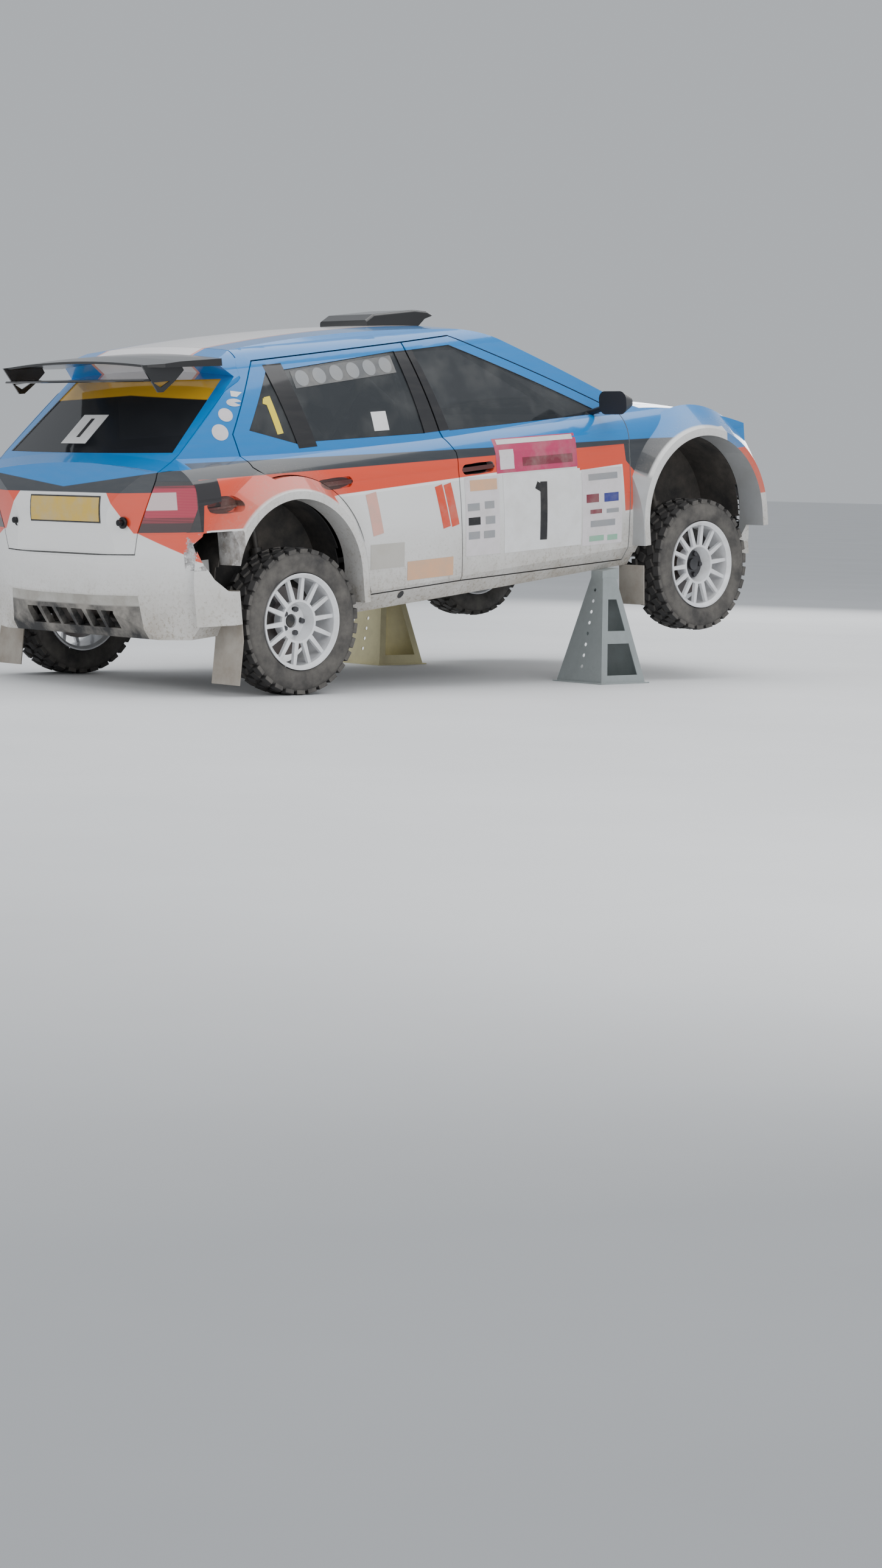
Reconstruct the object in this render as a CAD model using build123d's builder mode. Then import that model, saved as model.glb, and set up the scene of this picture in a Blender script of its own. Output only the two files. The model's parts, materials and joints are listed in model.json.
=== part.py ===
from build123d import *
from math import cos, radians, sin, tan
import os

os.makedirs("parts", exist_ok=True)

# Driving dimensions in millimetres. The car is drawn level, X forward from the rear axle,
# Y to its left, Z up from the ground, and then stands nose up on its two stands.

# Stance
nose_up = 7.0
front_droop = 68

# Wheels
wheelbase = 2574
half_track = 803
tyre_radius = 322
tyre_width = 190
tread_depth = 11
lug_count = 24
rim_radius = 212
rim_width = 178
bead_gap = 0.3

# Body
half_width = 853
flare_half_width = 912
belt_height = 1030
roof_height = 1553
sill_height = 300
nose_x = 3374
tail_x = -622
side_radius = 36000
side_middle = 1300
cabin_radius = 8500
cabin_middle = 1000
crown_radius = 6000
door_wall = 46
roof_wall = 30
end_wall = 26
panel_gap = 6
door_rebate = 18
skin_lip = 8
glass_depth = 6
glass_thickness = 5
seat_gap = 0.3

# Wheel arches: opening radius, centre height, width of the blister round it
rear_arch_radius = 351
rear_arch_height = 507
rear_flare_band = 34
front_arch_radius = 408
front_arch_height = 475
front_arch_x = 2605
front_flare_band = 36
arch_depth_rear = 590
arch_depth_front = 500
flare_foot = 785
flare_slope = 42
liner_wall = 5
liner_edge = 763
liner_low_edge = 745

# Inside
cage_radius = 20
seat_y = 360

# Stands
stand_x = 1968
stand_y = 797
stand_base = 300
stand_sheet = 4
saddle_length = 90
saddle_width = 80
saddle_height = 40
leg_width = 38
foot_wall = 6
foot_bore = 26
strip_holes = 8
hole_pitch = 52
hole_radius = 9

axle_height = tyre_radius
front_hub_height = axle_height - front_droop
far_inside = -1300
world = Location((0, 0, axle_height), (0, -nose_up, 0)) * Location((0, 0, -axle_height))
pieces = {}


def keep(piece, name, stance=world):
    """Set a finished piece down in its stance and remember it under its name."""
    placed = piece.moved(stance)
    placed.label = name
    pieces[name] = placed


def bar(start, end, radius):
    """A straight round bar, added to the piece that is being made."""
    way = Vector(*end) - Vector(*start)
    with BuildSketch(Plane(origin=start, z_dir=way)) as section:
        Circle(radius)
    extrude(section.sketch, amount=way.length)


# Body surfaces. Each is a solid that the body is cut from, and a second set drawn smaller
# by the wall gives the hollow inside.


def flank(inset):
    """Left flank below the belt, swept on a wide arc in plan."""
    skin = half_width - inset
    with BuildPart() as left:
        with BuildSketch(Plane.YZ.offset(side_middle)) as outline:
            with BuildLine():
                Polyline((far_inside, 150), (skin - 85, 150), (skin - 85, sill_height),
                         (skin - 47, 350), (skin - 17, 392))
                ThreePointArc((skin - 17, 392), (skin, 640), (skin - 7, 884))
                ThreePointArc((skin - 7, 884), (skin - 19, 962), (skin - 71, belt_height))
                Polyline((skin - 71, belt_height), (600 - inset, 1120), (far_inside, 1160),
                         (far_inside, 150))
            make_face()
        for way in (1, -1):
            axis = Axis((side_middle, half_width - side_radius, 0), (0, 0, way))
            revolve(outline.sketch, axis=axis, revolution_arc=5)
    return left.part


def cabin_side(inset):
    """Left side of the cabin above the belt, which leans in towards the roof."""
    with BuildPart() as left:
        with BuildSketch(Plane.YZ.offset(cabin_middle)) as outline:
            with BuildLine():
                ThreePointArc((796 - inset, 960), (735 - inset, 1215), (650 - inset, 1425))
                ThreePointArc((650 - inset, 1425), (622 - inset, 1474), (560 - inset, 1512))
                Polyline((560 - inset, 1512), (300 - inset, 1640), (far_inside, 1640),
                         (far_inside, 960), (796 - inset, 960))
            make_face()
        for way in (1, -1):
            axis = Axis((cabin_middle, 770 - cabin_radius, 0), (0, 0, way))
            revolve(outline.sketch, axis=axis, revolution_arc=16)
    return left.part


def crown(inset):
    """Top outline turned about a long axis under the floor, which crowns every panel."""
    low = -inset
    glass_slope = 0.7855
    notch = -40 + 0.93 * inset
    lip = min(-92 + 2.66 * inset, notch)
    with BuildPart() as sector:
        with BuildSketch(Plane.XZ) as outline:
            with BuildLine():
                Polyline((-900, 100), (-900, 1000 + low), (-515, 1062 + low), (-455, 1098 + low),
                         (notch, 1424 + low + glass_slope * (notch + 40)), (lip, 1474 + low),
                         (lip, 1498 + low), (0, 1528 + low))
                ThreePointArc((0, 1528 + low), (640, roof_height + low), (1330, 1528 + low))
                ThreePointArc((1330, 1528 + low), (1460, 1500 + low), (1560, 1462 + low))
                Polyline((1560, 1462 + low), (2345, 1092 + low))
                ThreePointArc((2345, 1092 + low), (2760, 1040 + low), (3120, 930 + low))
                Polyline((3120, 930 + low), (3500, 780 + low), (3500, 100), (-900, 100))
            make_face()
        for way in (1, -1):
            axis = Axis((0, 0, 1500 - crown_radius), (way, 0, 0))
            revolve(outline.sketch, axis=axis, revolution_arc=12)
    return sector.part


def plan(inset):
    """Plan outline with its rounded tail and nose."""
    tail = tail_x + inset
    nose = nose_x - inset
    side = 960 - inset
    with BuildPart() as block:
        with BuildSketch(Plane.XY.offset(100)):
            with BuildLine():
                ThreePointArc((-440 + inset, 835 - inset), (tail, 0), (-440 + inset, inset - 835))
                Polyline((-440 + inset, inset - 835), (-300, -side), (2780, -side),
                         (2960 - inset, inset - 860))
                ThreePointArc((2960 - inset, inset - 860), (nose, 0), (2960 - inset, 860 - inset))
                Polyline((2960 - inset, 860 - inset), (2780, side), (-300, side),
                         (-440 + inset, 835 - inset))
            make_face()
        extrude(amount=1600)
    return block.part


def ends(inset):
    """Tail, nose and belly seen from the side."""
    i = inset
    belly = sill_height + i
    chin = 240 + i
    with BuildPart() as block:
        with BuildSketch(Plane.XZ.offset(-1000)):
            with BuildLine():
                Polyline((-540 + i, belly), (-600 + i, 420), (tail_x + i, 520), (-620 + i, 660),
                         (-588 + i, 680), (-592 + i, 770))
                ThreePointArc((-592 + i, 770), (-580 + i, 930), (-515 + i, 1062))
                Polyline((-515 + i, 1062), (-515 + i, 1700), (3120 - i, 1700), (3120 - i, 930))
                ThreePointArc((3120 - i, 930), (3290 - i, 812), (3362 - i, 650))
                Polyline((3362 - i, 650), (nose_x - i, 520), (3360 - i, 330), (3300 - i, chin),
                         (2950, chin), (2900, belly), (-540 + i, belly))
            make_face()
        extrude(amount=2000)
    return block.part


def bulk(side_inset, top_inset, end_inset):
    """The whole closed body, drawn smaller by the three insets."""
    with BuildPart() as low:
        add(flank(side_inset))
        mirror(about=Plane.XZ, mode=Mode.INTERSECT)
    with BuildPart() as high:
        add(cabin_side(side_inset))
        mirror(about=Plane.XZ, mode=Mode.INTERSECT)
    with BuildPart() as body:
        add(low.part)
        add(high.part)
        add(crown(top_inset), mode=Mode.INTERSECT)
        add(plan(end_inset), mode=Mode.INTERSECT)
        add(ends(end_inset), mode=Mode.INTERSECT)
    return body.part


def side_block(points, grow=0.0, y_from=350, y_to=1000, arc=None):
    """A block through the left side of the car with an outline drawn in X and Z."""
    with BuildPart() as block:
        with BuildSketch(Plane.XZ.offset(-y_to)):
            with BuildLine():
                if arc:
                    first, middle, last = arc
                    ThreePointArc(points[first], middle, points[last])
                    Polyline(*points[last:], *points[: first + 1])
                else:
                    Polyline(*points, points[0])
            make_face()
            if grow:
                offset(amount=grow, kind=Kind.INTERSECTION)
        extrude(amount=y_to - y_from)
    return block.part


def end_block(points, grow=0.0, x_from=-900, x_to=0):
    """A block along the car with an outline drawn in Y and Z."""
    with BuildPart() as block:
        with BuildSketch(Plane.YZ.offset(x_from)):
            with BuildLine():
                Polyline(*points, points[0])
            make_face()
            if grow:
                offset(amount=grow, kind=Kind.INTERSECTION)
        extrude(amount=x_to - x_from)
    return block.part


def top_block(points, grow=0.0, z_from=600, z_to=1700):
    """A block down through the car with an outline drawn in X and Y."""
    with BuildPart() as block:
        with BuildSketch(Plane.XY.offset(z_from)):
            with BuildLine():
                Polyline(*points, points[0])
            make_face()
            if grow:
                offset(amount=grow, kind=Kind.INTERSECTION)
        extrude(amount=z_to - z_from)
    return block.part


def both_sides(rows):
    """Outline points given for the left half, closed by their mirror image."""
    return rows + [(-y, z) for y, z in reversed(rows)]


# Panel outlines, left side. Doors and windows in X and Z.
front_door = [(1018, 374), (1034, 958), (993, 1056), (930, 1466), (1225, 1474), (2168, 1063),
              (2162, 903), (2118, 334)]
rear_door = [(-53, 954), (434, 624), (431, 515), (470, 380), (1012, 374), (1028, 958),
             (984, 1056), (921, 1466), (75, 1450), (-132, 1150), (-116, 1008)]
rear_door_arc = (0, (282, 866), 1)
front_window = [(1051, 1055), (969, 1432), (1205, 1436), (2062, 1062), (2062, 1040)]
rear_window = [(276, 1081), (223, 1403), (862, 1434), (900, 1057)]
quarter_window = [(181, 1078), (-49, 1159), (127, 1403)]
front_wing = [(2124, 200), (2168, 903), (2174, 1048), (2352, 1048), (2352, 1250), (3500, 1250),
              (3500, 200)]
nose_cut = [(2962, 200), (2990, 706), (3060, 752), (3214, 800), (3214, 1100), (3500, 1100),
            (3500, 200)]
# Hatch, lamps and diffuser in Y and Z, bonnet and windscreen in X and Y
hatch_outline = both_sides([(700, 1600), (700, 1446), (602, 1400), (645, 1090), (612, 992),
                            (495, 764), (470, 674)])
hatch_window = both_sides([(532, 1386), (602, 1098)])
lamp_outline = [(853, 980), (611, 986), (500, 766), (756, 766)]
bonnet_outline = [(2352, 640), (2352, -640), (3000, -610), (3130, -520), (3208, -300),
                  (3208, 300), (3130, 520), (3000, 610)]
screen_outline = [(1420, 540), (1420, -540), (2322, -622), (2322, 622)]
headlamp_outline = [(430, 690), (440, 748), (760, 800), (770, 720)]

outer = bulk(0, 0, 0)
hollow = bulk(door_wall, roof_wall, end_wall)
with BuildPart() as skin:
    add(outer)
    add(hollow, mode=Mode.SUBTRACT)

# Wheel arches: (centre x, centre height, opening radius, blister band, inner wall)
arches = [(0, rear_arch_height, rear_arch_radius, rear_flare_band, arch_depth_rear),
          (front_arch_x, front_arch_height, front_arch_radius, front_flare_band, arch_depth_front)]


def blister(x, height, radius):
    """The flare round one arch, wide at its foot in the skin and narrow at its lip."""
    reach = flare_half_width - flare_foot
    foot = radius + reach * tan(radians(flare_slope))
    with BuildPart() as flare:
        with BuildSketch(Plane(origin=(x, flare_foot, 0), x_dir=(-1, 0, 0), z_dir=(0, 1, 0))):
            with BuildLine():
                Polyline((foot, height), (foot, 200), (-foot, 200), (-foot, height))
                ThreePointArc((-foot, height), (0, height + foot), (foot, height))
            make_face()
        extrude(amount=reach, taper=flare_slope)
    return flare.part


def arch_opening(x, height, radius, depth, grow=0.0):
    """What an arch opens, out to the side and down to the ground."""
    with BuildPart() as hole:
        with BuildSketch(Plane.XZ.offset(-1000)):
            with Locations((x, height)):
                Circle(radius + grow)
            with Locations((x, height / 2)):
                Rectangle(2 * (radius + grow), height)
        extrude(amount=1000 - depth)
    return hole.part


with BuildPart() as rear_blister:
    add(blister(arches[0][0], arches[0][1], rear_arch_radius + rear_flare_band))
    add(side_block([(-620, 360), (-620, 1100), (520, 1100), (520, 360)]), mode=Mode.INTERSECT)
with BuildPart() as front_blister:
    add(blister(arches[1][0], arches[1][1], front_arch_radius + front_flare_band))
    add(side_block([(2156, 396), (2172, 903), (2172, 1100), (3200, 1100), (3200, 396)]),
        mode=Mode.INTERSECT)

with BuildPart() as wide_skin:
    add(skin.part)
    add(rear_blister.part)
    add(front_blister.part)
    mirror(rear_blister.part, about=Plane.XZ)
    mirror(front_blister.part, about=Plane.XZ)
    add(hollow, mode=Mode.SUBTRACT)
    for x, height, radius, band, depth in arches:
        opening = arch_opening(x, height, radius, depth)
        add(opening, mode=Mode.SUBTRACT)
        mirror(opening, about=Plane.XZ, mode=Mode.SUBTRACT)

# Doors, one outline each, left and then mirrored
windows = {"front": [front_window], "rear": [rear_window, quarter_window]}
doors = {"front": side_block(front_door), "rear": side_block(rear_door, arc=rear_door_arc)}
door_cuts = [side_block(front_door, panel_gap), side_block(rear_door, panel_gap, arc=rear_door_arc)]
with BuildPart() as rebate:
    add(side_block(rear_door, door_rebate, arc=rear_door_arc))
    add(cabin_side(skin_lip), mode=Mode.INTERSECT)
# Handle recesses: (middle x, middle z, length)
handles = {"front": (1153, 874, 200), "rear": (295, 894, 200)}
handle_height = 48
handle_depth = 16
strap_height = 20
# A door is a panel with its window frame welded on where its shut line kinks
frame_seams = {"front": 958, "rear": 1040}


def pressed_slot(x, z, length, height, deep, shallow=None):
    """A long rounded block over the left flank, down to one depth and, if asked, only from another."""
    with BuildPart() as block:
        with BuildSketch(Plane.XZ.offset(-950)):
            with Locations((x, z)):
                SlotOverall(length, height)
        extrude(amount=200)
    with BuildPart() as slot:
        add(block.part)
        if shallow is not None:
            with BuildPart(mode=Mode.PRIVATE) as proud:
                add(block.part)
                add(flank(shallow), mode=Mode.SUBTRACT)
            add(proud.part, mode=Mode.SUBTRACT)
        add(flank(deep), mode=Mode.SUBTRACT)
    return slot.part


for place, outline in doors.items():
    with BuildPart() as door:
        add(skin.part)
        handle_x, handle_z, handle_length = handles[place]
        add(pressed_slot(handle_x, handle_z, handle_length, handle_height, handle_depth), mode=Mode.SUBTRACT)
        add(pressed_slot(handle_x, handle_z, handle_length + 12, strap_height, 10, 3))
        add(outline, mode=Mode.INTERSECT)
        if place == "front":
            add(rebate.part, mode=Mode.SUBTRACT)
        for window in windows[place]:
            add(side_block(window), mode=Mode.SUBTRACT)
    seam = frame_seams[place]
    for pressing, low, high in (("door", 200, seam), ("door_frame", seam, 1700)):
        with BuildPart() as share:
            add(door.part)
            add(side_block([(-400, low), (-400, high), (2400, high), (2400, low)]), mode=Mode.INTERSECT)
        keep(share.part, f"{pressing}_{place}_left")
        keep(mirror(share.part, about=Plane.XZ), f"{pressing}_{place}_right")

pane_outer = cabin_side(glass_depth)
pane_inner = cabin_side(glass_depth + glass_thickness)
for place, outlines in windows.items():
    with BuildPart() as pane:
        for window in outlines:
            add(side_block(window, -seat_gap))
        add(pane_outer, mode=Mode.INTERSECT)
        add(pane_inner, mode=Mode.SUBTRACT)
    keep(pane.part, f"window_{place}_left")
    keep(mirror(pane.part, about=Plane.XZ), f"window_{place}_right")

# Cuts shared by the outer panels
hatch_block = end_block(hatch_outline)
hatch_cut = end_block(hatch_outline, panel_gap, x_to=panel_gap)
lamp_cut = end_block(lamp_outline, seat_gap, x_to=-330)
bonnet_block = top_block(bonnet_outline)
bonnet_cut = top_block(bonnet_outline, panel_gap)
wing_block = side_block(front_wing)
wing_cut = side_block(front_wing, seat_gap, y_from=-1000)
nose_block = side_block(nose_cut, y_from=-1000)
nose_gone = side_block(nose_cut, seat_gap, y_from=-1000)
headlamp_cut = end_block(headlamp_outline, seat_gap, x_from=2900, x_to=3500)
headlamp_block = end_block(headlamp_outline, x_from=2900, x_to=3500)
bumper_rows = both_sides([(1000, 200), (1000, 758), (497, 758), (474, 662)])
bumper_block = end_block(bumper_rows, x_to=-336)
bumper_gone = end_block(bumper_rows, seat_gap, x_to=-336 + seat_gap)
diffuser_rows = both_sides([(500, 250), (470, 492)])
diffuser_block = end_block(diffuser_rows, x_to=-480)
diffuser_cut = end_block(diffuser_rows, seat_gap, x_to=-480 + seat_gap)
steer_room = side_block([(2182, 200), (2182, 430), (2300, 430), (2300, 200)], y_to=800)
belly_cut = top_block([(-470, 720), (-470, -720), (2968, -720), (2968, 720)], z_from=200, z_to=360)

# Jambs: flanges that run round the openings just behind the closed doors and hatch
jamb_reach = 25
jamb_wall = 10
jamb_root = 6
# The front top corner of a front door sweeps back as it opens, so no flange stands there
door_corner = [(2090, 1020), (2090, 1140), (2210, 1140), (2210, 1020)]
jamb_face = bulk(door_wall + seat_gap, roof_wall + seat_gap, end_wall + seat_gap)


def inside_tail(clearance):
    """What lies deeper than the wall under the roof and the tail, out to the sides."""
    with BuildPart() as inside:
        add(crown(roof_wall + clearance))
        add(plan(end_wall + clearance), mode=Mode.INTERSECT)
        add(ends(end_wall + clearance), mode=Mode.INTERSECT)
    return inside.part


def ring(wide, narrow):
    """The band between two blocks of one outline."""
    with BuildPart() as band:
        add(wide)
        add(narrow, mode=Mode.SUBTRACT)
    return band.part


def shallow(cut):
    """A panel's room in the skin on both sides, down to the jamb behind it."""
    with BuildPart() as room:
        add(cut)
        mirror(about=Plane.XZ)
        add(jamb_face, mode=Mode.SUBTRACT)
    return room.part


with BuildPart() as jambs:
    for outline, arc in ((front_door, None), (rear_door, rear_door_arc)):
        add(ring(side_block(outline, jamb_reach, arc=arc), side_block(outline, -jamb_reach, arc=arc)))
    add(side_block(door_corner), mode=Mode.SUBTRACT)
    mirror(about=Plane.XZ)
    add(ring(end_block(hatch_outline, jamb_reach, x_to=-jamb_reach),
             end_block(hatch_outline, -jamb_reach, x_to=-jamb_reach)))
    add(bulk(door_wall - jamb_root, roof_wall - jamb_root, end_wall - jamb_root), mode=Mode.INTERSECT)
    add(bulk(door_wall + jamb_wall, roof_wall + jamb_wall, end_wall + jamb_wall), mode=Mode.SUBTRACT)

with BuildPart() as hatch_room:
    add(hatch_cut)
    add(inside_tail(seat_gap), mode=Mode.SUBTRACT)

# Oval vent in each rear quarter: middle x, middle z, length, height
quarter_vent = (-326, 868, 160, 70)
vent_depth = 14

with BuildPart() as shell:
    add(wide_skin.part)
    add(jambs.part)
    for cut in (*door_cuts, rebate.part, hatch_room.part):
        add(shallow(cut), mode=Mode.SUBTRACT)
    for cut in (bonnet_cut, wing_cut, nose_gone, bumper_gone, diffuser_cut,
                belly_cut, top_block(screen_outline, z_from=1000)):
        add(cut, mode=Mode.SUBTRACT)
    for mirrored in (False, True):
        pocket = pressed_slot(*quarter_vent, vent_depth)
        vent_x, vent_z, vent_length, vent_height = quarter_vent
        bars = [pressed_slot(vent_x, vent_z + rise, vent_length + 10, 9, vent_depth + 4, 4)
                for rise in (-12, 12)]
        if mirrored:
            pocket = mirror(pocket, about=Plane.XZ, mode=Mode.PRIVATE)
            bars = [mirror(each, about=Plane.XZ, mode=Mode.PRIVATE) for each in bars]
        add(pocket, mode=Mode.SUBTRACT)
        for each in bars:
            add(each)
    add(lamp_cut, mode=Mode.SUBTRACT)
    mirror(lamp_cut, about=Plane.XZ, mode=Mode.SUBTRACT)
shell_solids = shell.part.solids().sort_by(SortBy.VOLUME)
keep(Part() + shell_solids[-1], "body_shell")

with BuildPart() as wings:
    add(wide_skin.part)
    add(wing_block, mode=Mode.INTERSECT)
    for cut in (bonnet_cut, nose_gone, headlamp_cut, belly_cut, steer_room):
        add(cut, mode=Mode.SUBTRACT)
    mirror(about=Plane.XZ)
keep(wings.part, "front_wings")

with BuildPart() as bonnet:
    add(skin.part)
    add(bonnet_block, mode=Mode.INTERSECT)
    add(side_block([(2000, 780), (2000, 1300), (3500, 1300), (3500, 780)], y_from=-1000), mode=Mode.INTERSECT)
    for louvre_x in (2490, 2540, 2590):
        with BuildSketch(Plane.XY.offset(800)):
            with Locations((louvre_x, 300), (louvre_x, -300)):
                Rectangle(28, 330)
        extrude(amount=500, mode=Mode.SUBTRACT)
keep(bonnet.part, "bonnet")

with BuildPart() as hatch:
    add(skin.part)
    add(hatch_block, mode=Mode.INTERSECT)
    add(inside_tail(0), mode=Mode.SUBTRACT)
    add(end_block(hatch_window), mode=Mode.SUBTRACT)
    for cut in (door_cuts[1], rebate.part):
        add(cut, mode=Mode.SUBTRACT)
        mirror(cut, about=Plane.XZ, mode=Mode.SUBTRACT)
keep(hatch.part, "hatch")

with BuildPart() as hatch_pane:
    add(crown(glass_depth))
    add(crown(glass_depth + glass_thickness), mode=Mode.SUBTRACT)
    add(end_block(hatch_window, -seat_gap), mode=Mode.INTERSECT)
keep(hatch_pane.part, "hatch_glass")

with BuildPart() as windscreen:
    add(crown(glass_depth))
    add(crown(glass_depth + glass_thickness), mode=Mode.SUBTRACT)
    add(top_block(screen_outline, -seat_gap, z_from=950), mode=Mode.INTERSECT)
keep(windscreen.part, "windscreen")

with BuildPart() as rear_bumper:
    add(wide_skin.part)
    add(bumper_block, mode=Mode.INTERSECT)
    for cut in (hatch_cut, diffuser_cut):
        add(cut, mode=Mode.SUBTRACT)

diffuser_slots, slot_pitch, slot_rib = 6, 112, 18
with BuildPart() as diffuser:
    add(skin.part)
    add(diffuser_block, mode=Mode.INTERSECT)
    for slot in range(diffuser_slots):
        left = (slot - diffuser_slots / 2) * slot_pitch + slot_rib / 2
        right = left + slot_pitch - slot_rib
        add(end_block([(left, 342), (right, 342), (right - 6, 424), (left + 6, 424)], x_to=-480),
            mode=Mode.SUBTRACT)
keep(diffuser.part, "rear_diffuser")

# Tow eye, bolted to the crash beam behind the bumper
eye_x, eye_y, eye_z = 3400, 318, 400
eye_bore, eye_plate, eye_room = 22, 14, 5
beam_face = 3250
with BuildPart() as eye_slot:
    with BuildSketch(Plane.XZ.offset(-eye_y - eye_plate / 2 - eye_room)):
        with Locations((eye_x - 50, eye_z)):
            Rectangle(220, 2 * (eye_bore + 16 + eye_room))
    extrude(amount=eye_plate + 2 * eye_room)

# Openings of the front bumper: upper grille, lower grille and the two side intakes, in Y and Z
side_intake = [(530, 372), (690, 396), (676, 520), (560, 520)]
grille_outlines = [both_sides([(392, 742), (372, 662)]), both_sides([(430, 338), (380, 500)]),
                   side_intake, [(-y, z) for y, z in reversed(side_intake)]]
with BuildPart() as front_bumper:
    add(wide_skin.part)
    add(nose_block, mode=Mode.INTERSECT)
    for cut in (bonnet_cut, headlamp_cut):
        add(cut, mode=Mode.SUBTRACT)
    mirror(headlamp_cut, about=Plane.XZ, mode=Mode.SUBTRACT)
    for outline in grille_outlines:
        add(end_block(outline, x_from=2980, x_to=3500), mode=Mode.SUBTRACT)
    add(eye_slot.part, mode=Mode.SUBTRACT)
keep(front_bumper.part, "front_bumper")

# Grille inserts, a frame with level bars a little inside the skin
grille_face, grille_back = 5, 17
bar_pitch, bar_height, frame_width = 27, 7, 9
with BuildPart() as grille_front:
    add(plan(grille_face))
    add(ends(grille_face), mode=Mode.INTERSECT)
with BuildPart() as grille_hollow:
    add(plan(grille_back))
    add(ends(grille_back), mode=Mode.INTERSECT)
with BuildPart() as grilles:
    for outline in grille_outlines:
        heights = [z for y, z in outline]
        with BuildSketch(Plane.YZ.offset(2980)):
            with BuildLine():
                Polyline(*outline, outline[0])
            make_face()
            offset(amount=-seat_gap, kind=Kind.INTERSECTION)
            with BuildSketch(mode=Mode.PRIVATE) as clear:
                with BuildLine():
                    Polyline(*outline, outline[0])
                make_face()
                offset(amount=-frame_width, kind=Kind.INTERSECTION)
                for row in range(1, 10):
                    bar_z = min(heights) + row * bar_pitch
                    if bar_z < max(heights) - frame_width:
                        with Locations((0, bar_z)):
                            Rectangle(2000, bar_height, mode=Mode.SUBTRACT)
            add(clear.sketch, mode=Mode.SUBTRACT)
        extrude(amount=520)
    add(grille_front.part, mode=Mode.INTERSECT)
    add(grille_hollow.part, mode=Mode.SUBTRACT)
    add(eye_slot.part, mode=Mode.SUBTRACT)
keep(grilles.part, "front_grilles")

with BuildPart() as lamps:
    add(skin.part)
    add(end_block(lamp_outline, x_to=-330), mode=Mode.INTERSECT)
    add(hatch_cut, mode=Mode.SUBTRACT)
    mirror(about=Plane.XZ)
keep(lamps.part, "tail_lamps")

with BuildPart() as headlamps:
    add(skin.part)
    add(headlamp_block, mode=Mode.INTERSECT)
    mirror(about=Plane.XZ)
keep(headlamps.part, "headlamps")


crown_axis = Axis((0, 0, 1500 - crown_radius), (1, 0, 0))


# Rear wing: the white blade carries the roof line back, a black blade hangs under it
def crowned_strip(points, half_width_here, tip_cut=0):
    """A strip across the car with its section in X and Z, crowned like the roof."""
    with BuildPart() as strip:
        with BuildSketch(Plane.XZ) as outline:
            with BuildLine():
                Polyline(*points, points[0])
            make_face()
        revolve(outline.sketch, axis=crown_axis, revolution_arc=24)
    with BuildPart() as trimmed:
        add(strip.part.rotate(crown_axis, -12))
        with BuildSketch(Plane.XY.offset(1200)):
            with BuildLine():
                Polyline((-92, half_width_here + tip_cut / 2), (-380, half_width_here),
                         (-480, half_width_here - tip_cut), (-480, tip_cut - half_width_here),
                         (-380, -half_width_here), (-92, -half_width_here - tip_cut / 2),
                         (-92, half_width_here + tip_cut / 2))
            make_face()
        extrude(amount=500, mode=Mode.INTERSECT)
    return trimmed.part


plate_y, plate_wall = 512, 8
end_plates = []
for inner_y in (plate_y, -plate_y - plate_wall):
    with BuildPart() as end_plate:
        with BuildSketch(Plane.XZ.offset(-inner_y - plate_wall)):
            with BuildLine():
                Polyline((-476, 1478), (-270, 1478), (-250, 1440), (-300, 1400), (-372, 1355),
                         (-400, 1356), (-476, 1478))
            make_face()
            with BuildLine():
                Polyline((-420, 1400), (-330, 1400), (-384, 1376), (-420, 1400))
            make_face(mode=Mode.SUBTRACT)
        extrude(amount=plate_wall)
    end_plates.append(end_plate.part)
with BuildPart() as rear_wing:
    add(crowned_strip([(-92.3, 1474), (-92.3, 1506), (-300, 1508), (-456, 1500), (-458, 1490),
                       (-300, 1484)], 560, tip_cut=60))
    with BuildSketch(Plane.XZ.offset(-plate_y - plate_wall / 2)):
        with BuildLine():
            Polyline((-380, 1404), (-392, 1416), (-466, 1418), (-472, 1412), (-466, 1408), (-380, 1404))
        make_face()
    extrude(amount=2 * plate_y + plate_wall)
    for end_plate in end_plates:
        add(end_plate)
keep(rear_wing.part, "rear_wing")

# Roof scoop
scoop_rear, scoop_front = 1130, 1560
with BuildPart() as roof_scoop:
    with BuildSketch(Plane.XZ.offset(-170)):
        with BuildLine():
            Polyline((scoop_rear, 1530), (scoop_rear, 1566), (1180, 1590), (1440, 1592), (1520, 1580),
                     (scoop_front, 1558), (1500, 1545), (1450, 1510), (scoop_rear, 1510),
                     (scoop_rear, 1530))
        make_face()
    extrude(amount=340)
    fillet(roof_scoop.edges().filter_by(GeomType.LINE).filter_by(
        lambda e: abs(e.tangent_at(0).Y) < 0.1).filter_by(lambda e: e.center().Z > 1565), 14)
    add(crown(-seat_gap), mode=Mode.SUBTRACT)
    with BuildSketch(Plane.YZ.offset(1460)):
        with Locations((0, 1564)):
            Rectangle(290, 22)
    extrude(amount=140, mode=Mode.SUBTRACT)
keep(roof_scoop.part.solids().sort_by(SortBy.VOLUME)[-1], "roof_scoop")

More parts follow.
